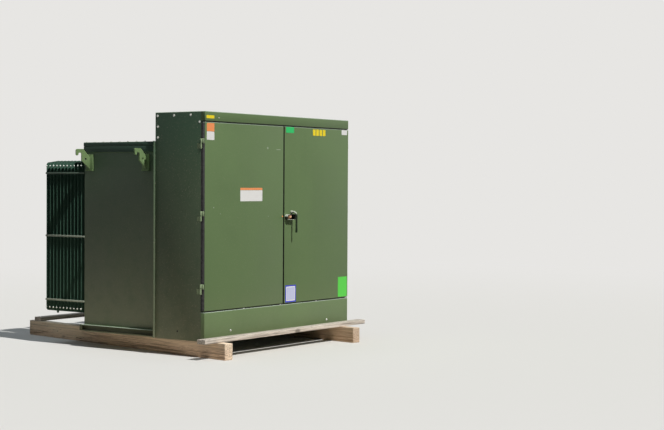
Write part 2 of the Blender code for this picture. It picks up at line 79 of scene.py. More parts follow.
bl_info = {
    "name": "Power transformer",
    "version": (1, 0, 0),
    "blender": (4, 5, 0),
    "location": "View3D > Sidebar > Transformer",
    "description": "Builds the looks of a pad-mounted power transformer on its skid",
    "category": "Object",
}

WELD = 0.00002                        # vertices nearer than this become one
SEAT = 0.0003                         # left between a piece and what carries it
RACK = math.radians(9.5)              # the runners' turn on the cabinet
TANK_START, TANK_LENGTH = 0.5663, 0.889    # behind the doors' plane
FRONT_LEFT, FRONT_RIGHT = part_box("front_sill")
SILL_TOP = FRONT_RIGHT.z
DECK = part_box("runner_left")[1].z
CABINET_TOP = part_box("cabinet_roof")[1].z
TANK_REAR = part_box("tank_shell")[1].y
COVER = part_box("tank_cover")
SIDES = ((-1, "left"), (1, "right"))
CABINET_WALL = {-1: FRONT_LEFT.x, 1: FRONT_RIGHT.x}
TANK_WALL = {-1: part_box("base_rail_left")[1].x + SEAT,
             1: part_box("base_rail_right")[0].x - SEAT}
UP, DOWN, FORWARD, BACKWARD = (0, 0, 1), (0, 0, -1), (0, -1, 0), (0, 1, 0)
UPRIGHT = Matrix.Rotation(math.pi / 2, 4, "X")    # a flat shape's face turned forward
VERT, EDGE, FACE = bmesh.types.BMVert, bmesh.types.BMEdge, bmesh.types.BMFace
CAMERA_TURN = (0.954056, -0.021139, 0.005469)     # yaw, pitch and roll
CAMERA_SPOT = (-9.484642, -8.050680, 1.351446)    # from the cabinet's left corner on the deck
GREEN_SLOT, WOOD_SLOT, BOARD_SLOT = "green_paint", "timber", "weathered_board"
STEEL_SLOT, GLAZE_SLOT = "bare_metal", "porcelain"


# Settings

def colour(name, description, value):
    return FloatVectorProperty(name=name, description=description, subtype="COLOR", size=3,
                               min=0.0, max=1.0, default=value)


def length(name, description, value):
    return FloatProperty(name=name, description=description, unit="LENGTH",
                         subtype="DISTANCE", min=0.0, default=value)


class TransformerColours(bpy.types.PropertyGroup):
    """Colours of the paint, timber, metal, patches and stage."""
    paint: colour("Paint", "Green cabinet and tank paint", (0.122, 0.190, 0.082))
    # Painted shade: a darker copy of the paint for the walls out of the light
    side: colour("Side paint", "Paint of the side walls", (0.074, 0.122, 0.072))
    # Painted shade: darker and bluer high on the side walls
    side_high_painted_shade: colour("Side paint, high", "Paint high on the side walls", (0.035, 0.080, 0.060))
    # Painted shade: a darker, bluer copy of the paint for the cover's and rim's sides
    lid: colour("Lid", "Paint of the tank's cover and rim", (0.044, 0.084, 0.062))
    # Painted shade: a dark copy of the paint for the base rails
    rail: colour("Rail", "Paint of the base rails", (0.052, 0.066, 0.036))
    # Painted shade: a darker, bluer copy of the paint for the fins
    fin: colour("Fin", "Paint of the radiators", (0.052, 0.112, 0.082))
    # Painted highlight along the top folds
    worn: colour("Worn paint", "Paint worn pale along the folds", (0.400, 0.490, 0.400))
    dust: colour("Dust", "Road dust on the paint", (0.420, 0.370, 0.280))
    runner: colour("Runner", "Sawn timber of the runners", (0.970, 0.770, 0.590))
    runner_dark: colour("Runner grain", "Dark grain of the runners", (0.330, 0.215, 0.135))
    board: colour("Board", "Weathered boards", (0.740, 0.680, 0.610))
    board_dark: colour("Board grain", "Dark grain of the boards", (0.330, 0.285, 0.240))
    zinc: colour("Zinc", "Plated bolts and clips", (0.640, 0.650, 0.620))
    # Painted light: the bars' green paint lightened where they catch light
    bar: colour("Tie bar", "Bars across the fins", (0.330, 0.380, 0.310))
    # Painted shade on the bars high up
    bar_high_shade: colour("Tie bar, high", "Bars high on the fins", (0.050, 0.110, 0.080))
    # Painted highlight: near white for the glints at the fins' corners
    weld: colour("Corner weld", "Welds at the fins' corners", (0.900, 0.950, 0.900))
    # Painted highlight on the lit hinge knuckles
    hinge: colour("Hinge", "Worn hinge knuckles", (0.330, 0.430, 0.250))
    handle: colour("Handle", "Handle rod", (0.024, 0.040, 0.022))
    # Painted highlight on the cup's rim and over the handle's bend
    cup: colour("Cup", "Worn steel of the bolt cup", (0.560, 0.600, 0.520))
    # Painted shade in and around the bolt cup
    cup_painted_shade: colour("Cup, dark", "Dark steel of the bolt cup", (0.022, 0.026, 0.022))
    bronze: colour("Bronze", "Bolt head in the cup", (1.000, 0.580, 0.350))
    # Black for the seals, and painted shade in gaps, holes and the cup
    seal: colour("Seal", "Rubber door seals", (0.008, 0.008, 0.008))
    # Painted shade on the doors' outer returns
    strip: colour("Strip", "Grey strips on the doors' returns", (0.090, 0.088, 0.092))
    glaze: colour("Glaze", "Glazed bushings", (0.300, 0.290, 0.270))
    white: colour("White patch", "Plain white patch", (0.900, 0.900, 0.890))
    orange: colour("Orange patch", "Plain orange patch", (1.000, 0.340, 0.110))
    yellow: colour("Yellow patch", "Plain yellow patch", (1.000, 0.780, 0.010))
    green: colour("Green patch", "Plain bright green patch", (0.015, 0.600, 0.150))
    lime: colour("Lime patch", "Plain lime patch", (0.100, 0.700, 0.070))
    field: colour("Patch field", "Pale field of the blue patch", (0.560, 0.600, 0.860))
    scuff: colour("Scuff", "Pale marks on the left door", (0.360, 0.420, 0.320))
    blue: colour("Blue patch", "Plain blue patch", (0.030, 0.045, 0.620))
    floor: colour("Floor", "Floor and backdrop", (0.800, 0.790, 0.770))
    bounce: colour("Bounce", "Floor as bounced light sees it", (0.880, 0.750, 0.600))


class TransformerSizes(bpy.types.PropertyGroup):
    """Sizes of the fins, fasteners, welds and patches."""
    fold: length("Fold", "Radius of the folded sheet edges", 0.002)
    bold_fold: length("Bold fold", "Radius of the roof's and sill's outer folds", 0.005)
    bolt: length("Bolt", "Radius of a bolt head", 0.0075)
    weld: length("Weld", "Radius of a weld bead", 0.0035)
    patch: length("Patch", "Thickness of a patch", 0.0004)
    fin_pitch: length("Fin pitch", "Distance between fins", 0.0447)
    fin_thickness: length("Fin thickness", "Thickness across a fin's flutes", 0.012)
    fin_setback: length("Fin setback", "From the tank to the first fin", 0.044)
    gable: length("Gable", "Rise of a fin's ends to the middle", 0.020)
    corner: length("Corner", "Drop of a fin's rounded corners", 0.018)
    bank_width: length("Bank width", "Width of a radiator bank", 0.30484)
    header: length("Header", "Radius of a header pipe", 0.030)
    fin_count: IntProperty(name="Fins", description="Fins in a bank", default=11, min=2)
    flutes: IntProperty(name="Flutes", description="Flutes on a fin", default=4, min=1)


class TransformerStage(bpy.types.PropertyGroup):
    """Light and camera."""
    sun: FloatProperty(name="Key light", description="Strength of the key light", default=3.55)
    sky: FloatProperty(name="Fill light", description="Strength of the fill", default=0.05)
    overhead: FloatProperty(name="Overhead light", description="Strength of the soft top light",
                            default=0.5)
    lens: FloatProperty(name="Lens", description="Focal length", unit="CAMERA",
                        default=79.037)


# Shapes

def only(kind, made):
    """The vertices, edges or faces among what an operator made."""
    return [item for item in made if isinstance(item, kind)]


def sharp(shape, angle):
    """The edges that are folded by more than an angle."""
    return [e for e in shape.edges if e.is_manifold and e.calc_face_angle(0.0) > angle]


def ring_of(part, spots):
    """Vertices at the spots, and the edges that close them into a ring."""
    verts = [part.verts.new(spot) for spot in spots]
    return verts, [part.edges.new(pair) for pair in zip(verts, verts[1:] + verts[:1])]


def drawn(part, ring, move):
    """Extrudes a ring of edges by a move, and gives the new ring and its vertices."""
    made = bmesh.ops.extrude_edge_only(part, edges=ring)["geom"]
    spots = only(VERT, made)
    bmesh.ops.translate(part, vec=move, verts=spots)
    return only(EDGE, made), spots


def thicken(part, faces, move):
    """Extrudes faces by a move, and gives the new faces."""
    made = bmesh.ops.extrude_face_region(part, geom=faces)["geom"]
    bmesh.ops.translate(part, vec=move, verts=only(VERT, made))
    return only(FACE, made)


def rectangle(wide, tall):
    """A flat rectangle about the origin."""
    part = bmesh.new()
    bmesh.ops.create_grid(part, x_segments=1, y_segments=1, size=0.5)
    bmesh.ops.scale(part, vec=(wide, tall, 1), verts=part.verts)
    return part


def soften(shape, edges, width, segments=2, clamp=True):
    bmesh.ops.bevel(shape, geom=edges, offset=width, segments=segments, profile=0.5,
                    affect="EDGES", material=-1, clamp_overlap=clamp)


def round_corners(part, spots, width, segments):
    bmesh.ops.bevel(part, geom=spots, offset=width, segments=segments, profile=0.5,
                    affect="VERTICES", material=-1)


def closed(part, place=None):
    """A closed part as a mesh, merged and with its faces outwards."""
    bmesh.ops.remove_doubles(part, verts=part.verts, dist=WELD)
    bmesh.ops.recalc_face_normals(part, faces=part.faces)
    mesh = bpy.data.meshes.new("part")
    part.to_mesh(mesh)
    part.free()
    if place is not None:
        mesh.transform(place)
    return mesh


def joined(shape, part, place=None):
    """Adds a closed part to a shape."""
    mesh = closed(part, place)
    shape.from_mesh(mesh)
    bpy.data.meshes.remove(mesh)


def stamp(shape, mesh, places):
    """Adds a closed part's mesh to a shape at each of the places."""
    for place in places:
        copy = mesh.copy()
        copy.transform(place)
        shape.from_mesh(copy)
        bpy.data.meshes.remove(copy)


def facing(spot, along):
    """A place at a spot, with its Z turned to the direction."""
    turn = Vector(along).to_track_quat("Z", "Y").to_matrix().to_4x4()
    return Matrix.Translation(Vector(spot)) @ turn


def plate(shape, low, high, edge):
    """A block between two corners with softened edges."""
    part = bmesh.new()
    bmesh.ops.create_cube(part, size=1.0)
    low, high = Vector(low), Vector(high)
    bmesh.ops.scale(part, vec=high - low, verts=part.verts)
    bmesh.ops.translate(part, vec=(low + high) / 2, verts=part.verts)
    soften(part, part.edges[:], edge)
    joined(shape, part)


def turned(shape, profile, place, steps):
    """A profile of (radius, height) points spun about a place's Z."""
    part = bmesh.new()
    spots = [part.verts.new((radius, 0.0, height)) for radius, height in profile]
    edges = [part.edges.new(pair) for pair in zip(spots, spots[1:])]
    bmesh.ops.spin(part, geom=spots + edges, cent=(0, 0, 0), axis=UP,
                   angle=math.tau, steps=steps, use_merge=True)
    joined(shape, part, place)


def bead(shape, start, end, radius, ripple=0.006):
    """A rippled weld bead between two points."""
    start, end = Vector(start), Vector(end)
    reach = (end - start).length
    count = max(2, round(reach / ripple))
    tip, dip = 0.6, 0.82
    part = bmesh.new()
    bmesh.ops.create_circle(part, cap_ends=True, segments=6, radius=radius * tip)
    ring = part.edges[:]
    for k in range(1, count + 1):
        ring, spots = drawn(part, ring, (0, 0, reach / count))
        size = radius * (tip if k == count else (1.0 if k % 2 else dip))
        for spot in spots:
            flat = Vector((spot.co.x, spot.co.y, 0)).normalized() * size
            spot.co = flat + Vector((0, 0, spot.co.z))
    bmesh.ops.contextual_create(part, geom=ring)
    joined(shape, part, facing(start, end - start))


def bolt_part(radius, sides=6, washer=True):
    """A bolt head's mesh, on a washer if it has one, standing along Z."""
    shape, low = bmesh.new(), 0.0
    if washer:
        low, wide = radius * 0.22, radius * 1.5
        turned(shape, [(0, low), (radius * 1.4, low), (wide, low * 0.5), (wide, 0), (0, 0)],
               Matrix(), 14)
    high = low + radius * 0.72
    turned(shape, [(0, high), (radius * 0.82, high), (radius, high - radius * 0.14),
                   (radius, low), (0, low)], Matrix(), sides)
    return closed(shape)


def cast(name, shape, body, finish, angle=35.0):
    """A shape as a finished piece that rides on a body."""
    mesh = bpy.data.meshes.new(name)
    shape.to_mesh(mesh)
    shape.free()
    mesh.materials.append(finish)
    mesh.shade_smooth()
    mesh.set_sharp_from_angle(angle=math.radians(angle))
    item = bpy.data.objects.new(name, mesh)
    bpy.context.scene.collection.objects.link(item)
    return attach(item, body)


def plates(name, body, look, blocks, edge):
    """A piece of plates, each between two corners."""
    shape = bmesh.new()
    for low, high in blocks:
        plate(shape, low, high, edge)
    return cast(name, shape, body, finish(look))


def outer_folds(node, shape, reach):
    """The long edges where a solid's upper faces meet its outer sides."""
    low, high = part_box(node)
    found = []
    for edge in shape.edges:
        if not edge.is_manifold or edge.calc_length() < reach:
            continue
        tilts = sorted(face.normal.z for face in edge.link_faces)
        middle = (edge.verts[0].co + edge.verts[1].co) / 2
        gap = min(middle.x - low.x, high.x - middle.x, middle.y - low.y)
        if abs(tilts[0]) < 0.3 and tilts[1] > 0.7 and gap < 0.001:
            found.append(edge)
    return found


def dressed(node, finish, fold=0.0, segments=2, angle=35.0, bold=0.0):
    """A copy of a solid with its folded edges softened, in place of the solid."""
    shape = bmesh.new()
    shape.from_mesh(frame["nodes"][node].data)
    bmesh.ops.remove_doubles(shape, verts=shape.verts, dist=WELD)
    bmesh.ops.dissolve_limit(shape, angle_limit=math.radians(1.0), verts=shape.verts,
                             edges=shape.edges)
    if bold:
        soften(shape, outer_folds(node, shape, 0.3), bold, 3, clamp=False)
    if fold:
        soften(shape, sharp(shape, math.radians(angle)), fold, segments)
    item = cast(node + "_finished", shape, body_of(frame["nodes"][node])[0], finish,
                angle)
    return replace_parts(item, node)


def on_front(x, z, out=0.0):
    """A point on the doors' plane, from the cabinet's left side and above the deck."""
    return Vector((FRONT_LEFT.x + x, FRONT_LEFT.y - out, DECK + z))


def on_side(y, z, sign):
    """A point on the cabinet's left (-1) or right (1) wall, back from the doors' plane."""
    return Vector((CABINET_WALL[sign], FRONT_LEFT.y + y, DECK + z))


# Finishes

class Finish:
    """A node material whose patterns read Object coordinates."""

    def __init__(self, name, shade, roughness, metallic=0.0, shine=0.5):
        self.material = bpy.data.materials.new(name + "_look")
        self.material.use_nodes = True
        self.tree = self.material.node_tree
        self.shader = self.tree.nodes["Principled BSDF"]
        self.spot = self.node("ShaderNodeTexCoord").outputs["Object"]
        self.tone = self.normal = None
        self.shade = tuple(shade)
        self.feeds(self.shader, {"Base Color": (*self.shade, 1.0), "Roughness": roughness,
                                 "Metallic": metallic, "Specular IOR Level": shine})

    def node(self, kind, **values):
        made = self.tree.nodes.new(kind)
        for key, value in values.items():
            setattr(made, key, value)
        return made

    def feed(self, socket, value):
        if isinstance(value, bpy.types.NodeSocket):
            self.tree.links.new(value, socket)
        else:
            socket.default_value = value

    def feeds(self, node, values):
        for key, value in values.items():
            self.feed(node.inputs[key], value)

    def mapped(self, place=(0, 0, 0), turn=0.0, stretch=(1, 1, 1)):
        made = self.node("ShaderNodeMapping", vector_type="TEXTURE")
        self.feeds(made, {"Vector": self.spot, "Location": place, "Rotation": (0, 0, turn),
                          "Scale": stretch})
        return made.outputs[0]

    def noise(self, scale, detail=2.0, roughness=0.5, vector=None, distortion=0.0):
        made = self.node("ShaderNodeTexNoise")
        self.feeds(made, {"Vector": vector or self.spot, "Scale": scale, "Detail": detail,
                          "Roughness": roughness, "Distortion": distortion})
        return made.outputs[0]

    def level(self, value, low, high, start=0.0, end=1.0, smooth=True):
        """Spreads a value's range from low to high over start to end."""
        made = self.node("ShaderNodeMapRange", clamp=True,
                         interpolation_type="SMOOTHSTEP" if smooth else "LINEAR")
        self.feeds(made, dict(enumerate((value, low, high, start, end))))
        return made.outputs[0]

    def maths(self, operation, a, b=0.0):
        made = self.node("ShaderNodeMath", operation=operation)
        self.feeds(made, {0: a, 1: b})
        return made.outputs[0]

    def mix(self, factor, shade):
        """Lays a shade over the tone so far, by a pattern."""
        made = self.node("ShaderNodeMix", data_type="RGBA")
        self.feeds(made, {0: factor, 6: self.tone or (*self.shade, 1.0), 7: (*shade, 1.0)})
        self.tone = made.outputs[2]

    def bump(self, height, distance, strength):
        made = self.node("ShaderNodeBump")
        self.feeds(made, {"Strength": strength, "Distance": distance, "Height": height})
        if self.normal:
            self.feed(made.inputs["Normal"], self.normal)
        self.normal = made.outputs[0]

    def rough(self, value):
        self.feed(self.shader.inputs["Roughness"], value)

    def axis(self, number):
        """The place along X (0), Y (1) or Z (2)."""
        parts = self.node("ShaderNodeSeparateXYZ")
        self.feed(parts.inputs[0], self.spot)
        return parts.outputs[number]

    def done(self):
        if self.tone:
            self.feed(self.shader.inputs["Base Color"], self.tone)
        if self.normal:
            self.feed(self.shader.inputs["Normal"], self.normal)
        return self.material


def colours():
    return bpy.context.scene.transformer_colours


def scaled(shade, factor):
    return tuple(min(1.0, part * factor) for part in shade)


def past_walls(look, near, far):
    """Zero on the cabinet and one on what stands out past its left and right walls."""
    middle, half = (FRONT_LEFT.x + FRONT_RIGHT.x) / 2, (FRONT_RIGHT.x - FRONT_LEFT.x) / 2
    away = look.maths("ABSOLUTE", look.maths("SUBTRACT", look.axis(0), middle))
    return look.level(away, half + near, half + far)


def paint_finish(name, shade=None, dusty=1.0, splash=0.6, shine=0.22, knuckles=False,
                 crest=None, under=0.0, crown=False, cooler=None, pale=None):
    """Sprayed enamel: mottled, streaked by rain, dusty up to the height of the splash. A pale
    band runs from the crest, the height of a folded edge, down to where it says: a painted
    highlight on the fold, or the plain paint on a lid whose sides carry painted shade."""
    dust, shade = colours().dust, tuple(shade or colours().paint)
    look = Finish(name, shade, 0.42, shine=shine)
    broad = look.noise(1.3, 3.0, 0.55)
    streak = look.noise(5.0, 3.0, 0.6, look.mapped(stretch=(1, 1, 14)))
    speck = look.noise(150.0, 1.0, 0.5)
    look.mix(look.level(broad, 0.3, 0.72), scaled(shade, 1.13))
    look.mix(look.level(streak, 0.55, 0.85, 0.0, 0.30), scaled(shade, 0.82))
    look.mix(look.level(speck, 0.66, 0.76, 0.0, 0.30 * dusty), dust)
    low = look.level(look.axis(2), 0.16, splash, 0.10 * dusty, 0.0, smooth=False)
    look.mix(look.maths("MULTIPLY", low, look.level(look.noise(9.0, 4.0), 0.2, 0.6, 0.6)),
             dust)
    # Painted shade: darker and bluer high up on a wall, where less light reaches
    if cooler:
        start, end, amount, tone = cooler
        look.mix(look.level(look.axis(2), start, end, 0.0, amount), tone)
    # Painted highlight along the fold below the crest; on the lid this band is the plain paint
    if crest:
        look.mix(look.level(look.axis(2), crest - under, crest - under / 3, 0.0, 0.9),
                 pale or colours().worn)
    # The painted highlight fades back to the paint at the very top
    if crown:
        look.mix(look.level(look.axis(2), crest - 0.0010, crest - 0.0002), shade)
    # Painted highlight: hinge knuckles standing past the walls take the lit hinge colour
    if knuckles:
        look.mix(past_walls(look, 0.002, 0.004), colours().hinge)
    look.rough(look.level(broad, 0.3, 0.7, 0.36, 0.52))
    look.bump(look.noise(1.6, 1.0), 0.0035, 0.6)
    look.bump(look.noise(420.0, 1.0), 0.00025, 0.5)
    return look.done()


def wood_finish(name, node, light, dark, board=False):
    """Sawn timber: rings about the heart, long grain, checks and knots. A board runs
    crosswise and is weathered."""
    turn, ring, weathered = (0.0, 0.009, 1.0) if board else (-RACK, 0.011, 0.0)
    low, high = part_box(node)
    middle = (low + high) / 2
    heart = Vector((middle.x, middle.y, DECK - 0.20))
    look = Finish(name, light, 0.86)

    def grain(stretch):
        """Coordinates about the heart, stretched along the timber."""
        return look.mapped(heart, turn, (stretch, 1, 1) if board else (1, stretch, 1))

    along = grain(16)
    rings = look.node("ShaderNodeTexWave", wave_type="RINGS",
                      rings_direction="X" if board else "Y")
    look.feeds(rings, {"Vector": along, "Scale": 0.314 / ring, "Distortion": 5.0,
                       "Detail": 3.0, "Detail Scale": 0.9})
    fibre = look.noise(190.0, 3.0, 0.7, along)
    patch = look.noise(4.0, 4.0, 0.6, grain(3))
    look.mix(look.level(rings.outputs[1], 0.50, 0.95, 0.0, 0.60), dark)
    look.mix(look.level(fibre, 0.50, 0.68, 0.0, 0.60), dark)
    streak = look.noise(70.0, 2.0, 0.5, grain(45), 0.4)
    look.mix(look.level(streak, 0.50, 0.62, 0.0, 0.70), scaled(dark, 0.7))
    look.mix(look.level(patch, 0.48, 0.72, 0.0, 0.45 + 0.35 * weathered),
             scaled(light, 1.20))
    look.mix(look.level(patch, 0.46, 0.28, 0.0, 0.5), scaled(dark, 1.2))
    check = look.noise(34.0, 2.0, 0.5, grain(26))
    split = look.level(look.maths("ABSOLUTE", look.maths("SUBTRACT", check, 0.5)),
                       0.0, 0.010, 1.0, 0.0)
    look.mix(look.maths("MULTIPLY", split, look.level(patch, 0.45, 0.62)),
             scaled(dark, 0.22))
    knots = look.node("ShaderNodeTexVoronoi", feature="F1")
    look.feeds(knots, {"Vector": grain(2), "Scale": 5.2})
    look.mix(look.level(knots.outputs[0], 0.055, 0.14, 0.85, 0.0), scaled(dark, 0.45))
    if not board:
        look.mix(look.level(look.axis(2), 0.040, 0.125, 0.0, 0.45), scaled(light, 1.1))
    look.bump(fibre, 0.0012, 0.7)
    look.bump(look.maths("SUBTRACT", 1.0, split), 0.003, 0.8)
    return look.done()


def metal_finish(name, shade, roughness, metallic, grime):
    """Metal with a dull film and fine wear."""
    look = Finish(name, shade, roughness, metallic)
    film = look.noise(40.0, 4.0, 0.6)
    look.mix(look.level(film, 0.45, 0.75, 0.0, 0.6), grime)
    look.rough(look.level(film, 0.35, 0.7, roughness * 0.8, min(1.0, roughness * 1.4)))
    look.bump(look.noise(300.0, 2.0), 0.0002, 0.5)
    return look.done()


def cup_finish(name):
    """Painted shade: dark all over for the shade in the cup; painted highlight, pale, where
    light falls on the ledge of the rim and on the top left of its wall.
    """
    look = Finish(name, colours().cup_painted_shade, 0.40)
    low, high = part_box("latch_plate")
    middle = (low.z + high.z) / 2
    upper_highlight = look.maths("MULTIPLY", look.level(look.axis(2), middle, middle + 0.008),
                       look.level(look.axis(0), low.x + 0.026, low.x + 0.042, 1.0, 0.0))
    ledge_highlight = look.maths("MULTIPLY",
                       look.level(look.axis(2), low.z + 0.004, low.z + 0.008, 1.0, 0.0),
                       look.level(look.axis(1), high.y - 0.020, high.y - 0.027))
    look.mix(look.maths("MAXIMUM", upper_highlight, ledge_highlight), colours().cup)
    look.bump(look.noise(300.0, 2.0), 0.0002, 0.5)
    return look.done()


def handle_finish(name):
    """Dark enamel on the rod, pale over the bend that hands hold: a painted highlight where
    light falls on the bend, with wear from hands.
    """
    enamel, top = colours().handle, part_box("door_handle")[1].z
    look = Finish(name, enamel, 0.5, shine=0.12)
    film = look.noise(60.0, 3.0, 0.6)
    worn = look.level(look.axis(2), top - 0.045, top - 0.008)
    look.mix(look.level(film, 0.45, 0.75, 0.0, 0.5), scaled(enamel, 1.6))
    look.mix(look.maths("MULTIPLY", worn, look.level(film, 0.25, 0.5, 0.4)), colours().cup)
    look.bump(look.noise(300.0, 2.0), 0.0002, 0.5)
    return look.done()


def patch_finish(name, shade):
    """Plain vinyl, slightly faded and scuffed."""
    look = Finish(name, shade, 0.38)
    look.mix(look.level(look.noise(28.0, 4.0, 0.6), 0.50, 0.80, 0.0, 0.35),
             scaled(shade, 0.80))
    look.mix(look.level(look.noise(260.0, 2.0), 0.68, 0.78, 0.0, 0.4), (0.36, 0.34, 0.30))
    look.bump(look.noise(55.0, 2.0), 0.0003, 0.5)
    return look.done()


def recipe(name):
    """The maker of a finish and what it is given. Any other name is a patch's colour."""
    c = colours()
    rail_top, door_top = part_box("base_rail_left")[1].z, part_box("left_door")[1].z
    recipes = {
        "green_paint": (paint_finish,),
        # Painted shade: a darker copy of the green for the side walls and tank, darker and bluer
        # high up; the heavy dust low down is real dust and also painted light bounced from the
        # ground
        "side_paint": (paint_finish, c.side, 2.6, 1.9, 0.12,
                       {"cooler": (1.5, 2.1, 0.45, c.side_high_painted_shade)}),
        # Painted highlight along the top folds of the doors, sill and roof, and on the doors'
        # hinge knuckles
        "door_paint": (paint_finish, {"knuckles": True, "crest": door_top, "under": 0.005}),
        "sill_paint": (paint_finish, {"crest": SILL_TOP, "under": 0.007}),
        "roof_paint": (paint_finish, {"crest": CABINET_TOP, "under": 0.007, "crown": True}),
        # Painted light: a lighter copy of the green for the sunlit hooks
        "hook_paint": (paint_finish, scaled(c.paint, 1.4)),
        # Painted shade: a darker, bluer copy of the green for the cover's and rim's sides; their
        # top keeps the plain paint
        "lid_paint": (paint_finish, c.lid, 0.5, 0.6, 0.12,
                      {"crest": COVER[1].z, "under": 0.0015, "pale": c.paint}),
        # Painted shade: a dark copy of the green for the rails, with a painted highlight along
        # their top
        "rail_paint": (paint_finish, c.rail, 0.7, 0.3, 0.10,
                       {"crest": rail_top, "under": 0.003}),
        # Painted shade: a darker, bluer copy of the green for the fins
        "fin_paint": (paint_finish, c.fin, 0.4, 0.6, 0.12),
        # Painted light: bars lighter than the green paint, with painted shade high up
        "bar_paint": (paint_finish, c.bar, 0.5, 0.6, 0.12,
                      {"cooler": (1.2, 1.5, 0.70, c.bar_high_shade)}),
        # Painted shade: a darker copy of the green on the hinge leaves, with a painted highlight
        # on the knuckles
        "hinge": (paint_finish, scaled(c.paint, 0.5), 0.4, {"knuckles": True}),
        "handle_steel": (handle_finish,),
        "cup_steel": (cup_finish,),
        "zinc": (metal_finish, c.zinc, 0.45, 0.6, scaled(c.dust, 0.6)),
        # Painted highlight: near white welds for the glints at the fins' corners
        "weld": (metal_finish, c.weld, 0.30, 0.0, scaled(c.weld, 0.8)),
        "bronze": (metal_finish, c.bronze, 0.35, 0.1, scaled(c.bronze, 0.6)),
        "tin": (metal_finish, c.zinc, 0.35, 0.9, (0.20, 0.20, 0.19)),
        # Painted shade on the doors' outer returns
        "strip": (metal_finish, c.strip, 0.6, 0.0, scaled(c.strip, 0.7)),
        # Black seals, and painted shade in the doors' gaps, the cup and small holes
        "rubber": (metal_finish, c.seal, 0.75, 0.0, (0.02, 0.02, 0.018)),
        "glaze": (metal_finish, c.glaze, 0.16, 0.0, scaled(c.glaze, 0.8)),
        "runner_wood_left": (wood_finish, "runner_left", c.runner, c.runner_dark),
        "runner_wood_right": (wood_finish, "runner_right", scaled(c.runner, 0.66),
                              c.runner_dark),
        "front_board_wood": (wood_finish, "front_board", c.board, c.board_dark, True),
        "rear_board_wood": (wood_finish, "rear_board", c.board, c.board_dark, True),
    }
    return recipes.get(name) or (patch_finish, getattr(c, name.replace("patch_", "")))


finishes = {}


def finish(name):
    """A finish by name, made when it is first asked for."""
    if name not in finishes:
        maker, *values = recipe(name)
        extra = values.pop() if values and isinstance(values[-1], dict) else {}
        finishes[name] = maker(name, *values, **extra)
    return finishes[name]


# Operators

class TRANSFORMER_OT_enclosure(bpy.types.Operator):
    """Paint the tank, cabinet, doors, hinges and hooks, with folded edges"""
    bl_idname = "transformer.enclosure"
    bl_label = "Painted enclosure"
    bl_options = {"REGISTER", "UNDO"}

    def execute(self, context):
        sizes = context.scene.transformer_sizes
        bold = sizes.bold_fold
        for node, look, share, outer in (
                ("cabinet_side_left", "side_paint", 1, 0),
                ("cabinet_side_right", "side_paint", 1, 0),
                ("cabinet_roof", "roof_paint", 0.8, bold),
                ("cabinet_rear_panel", "green_paint", 0.5, 0),
                ("front_sill", "sill_paint", 0.8, bold),
                ("left_door", "door_paint", 1.2, 0),
                ("right_door", "door_paint", 1.2, 0),
                ("tank_shell", "side_paint", 1.2, 0),
                ("tank_cover", "lid_paint", 0, 0),
                ("tank_rim", "lid_paint", 0.8, 0),
                ("cabinet_barrier", "green_paint", 0.5, 0)):
            dressed(node, finish(look), sizes.fold * share, bold=outer)
        for node in frame["nodes"]:
            if node.startswith("hook_"):
                dressed(node, finish("hook_paint"), sizes.fold * 0.6, 1)
            if node.startswith("hinge_"):
                dressed(node, finish("hinge"))
        return {"FINISHED"}


class TRANSFORMER_OT_rails(bpy.types.Operator):
    """Fold the base rails as channels, open outwards, with closed rear corners"""
    bl_idname = "transformer.rails"
    bl_label = "Base rails"
    bl_options = {"REGISTER", "UNDO"}

    def execute(self, context):
        lip, fold, gap = 0.007, 0.0012, 0.0002
        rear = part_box("base_rail_rear")[1].y
        corners = []
        for node, across, sign in (("base_rail_left", 0, -1), ("base_rail_right", 0, 1),
                                   ("base_rail_rear", 1, 1)):
            low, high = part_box(node)
            along = 1 - across
            inner, outer = ((low, high) if sign > 0 else (high, low))
            back, edge = inner[across], outer[across]
            web = back + sign * lip
            spots = []
            for u, z in ((back, low.z), (edge, low.z), (edge, low.z + lip),
                         (web, low.z + lip), (web, high.z - lip), (edge, high.z - lip),
                         (edge, high.z), (back, high.z)):
                spot = [0.0, 0.0, z]
                spot[across], spot[along] = u, low[along]
                spots.append(spot)
            move = [0.0, 0.0, 0.0]
            move[along] = high[along] - low[along]
            part = bmesh.new()
            edges = ring_of(part, spots)[1]
            thicken(part, bmesh.ops.contextual_create(part, geom=edges)["faces"], move)
            bmesh.ops.recalc_face_normals(part, faces=part.faces)
            soften(part, sharp(part, 1.0), fold)
            shape = bmesh.new()
            joined(shape, part)
            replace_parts(cast(node + "_finished", shape, "housing", finish("rail_paint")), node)
            if across == 0:
                corners.append(((low.x, high.y + gap, low.z),
                                (high.x - gap * (sign < 0), rear, high.z)))
        plates("rail_corners", "housing", "rail_paint", corners, fold)
        return {"FINISHED"}


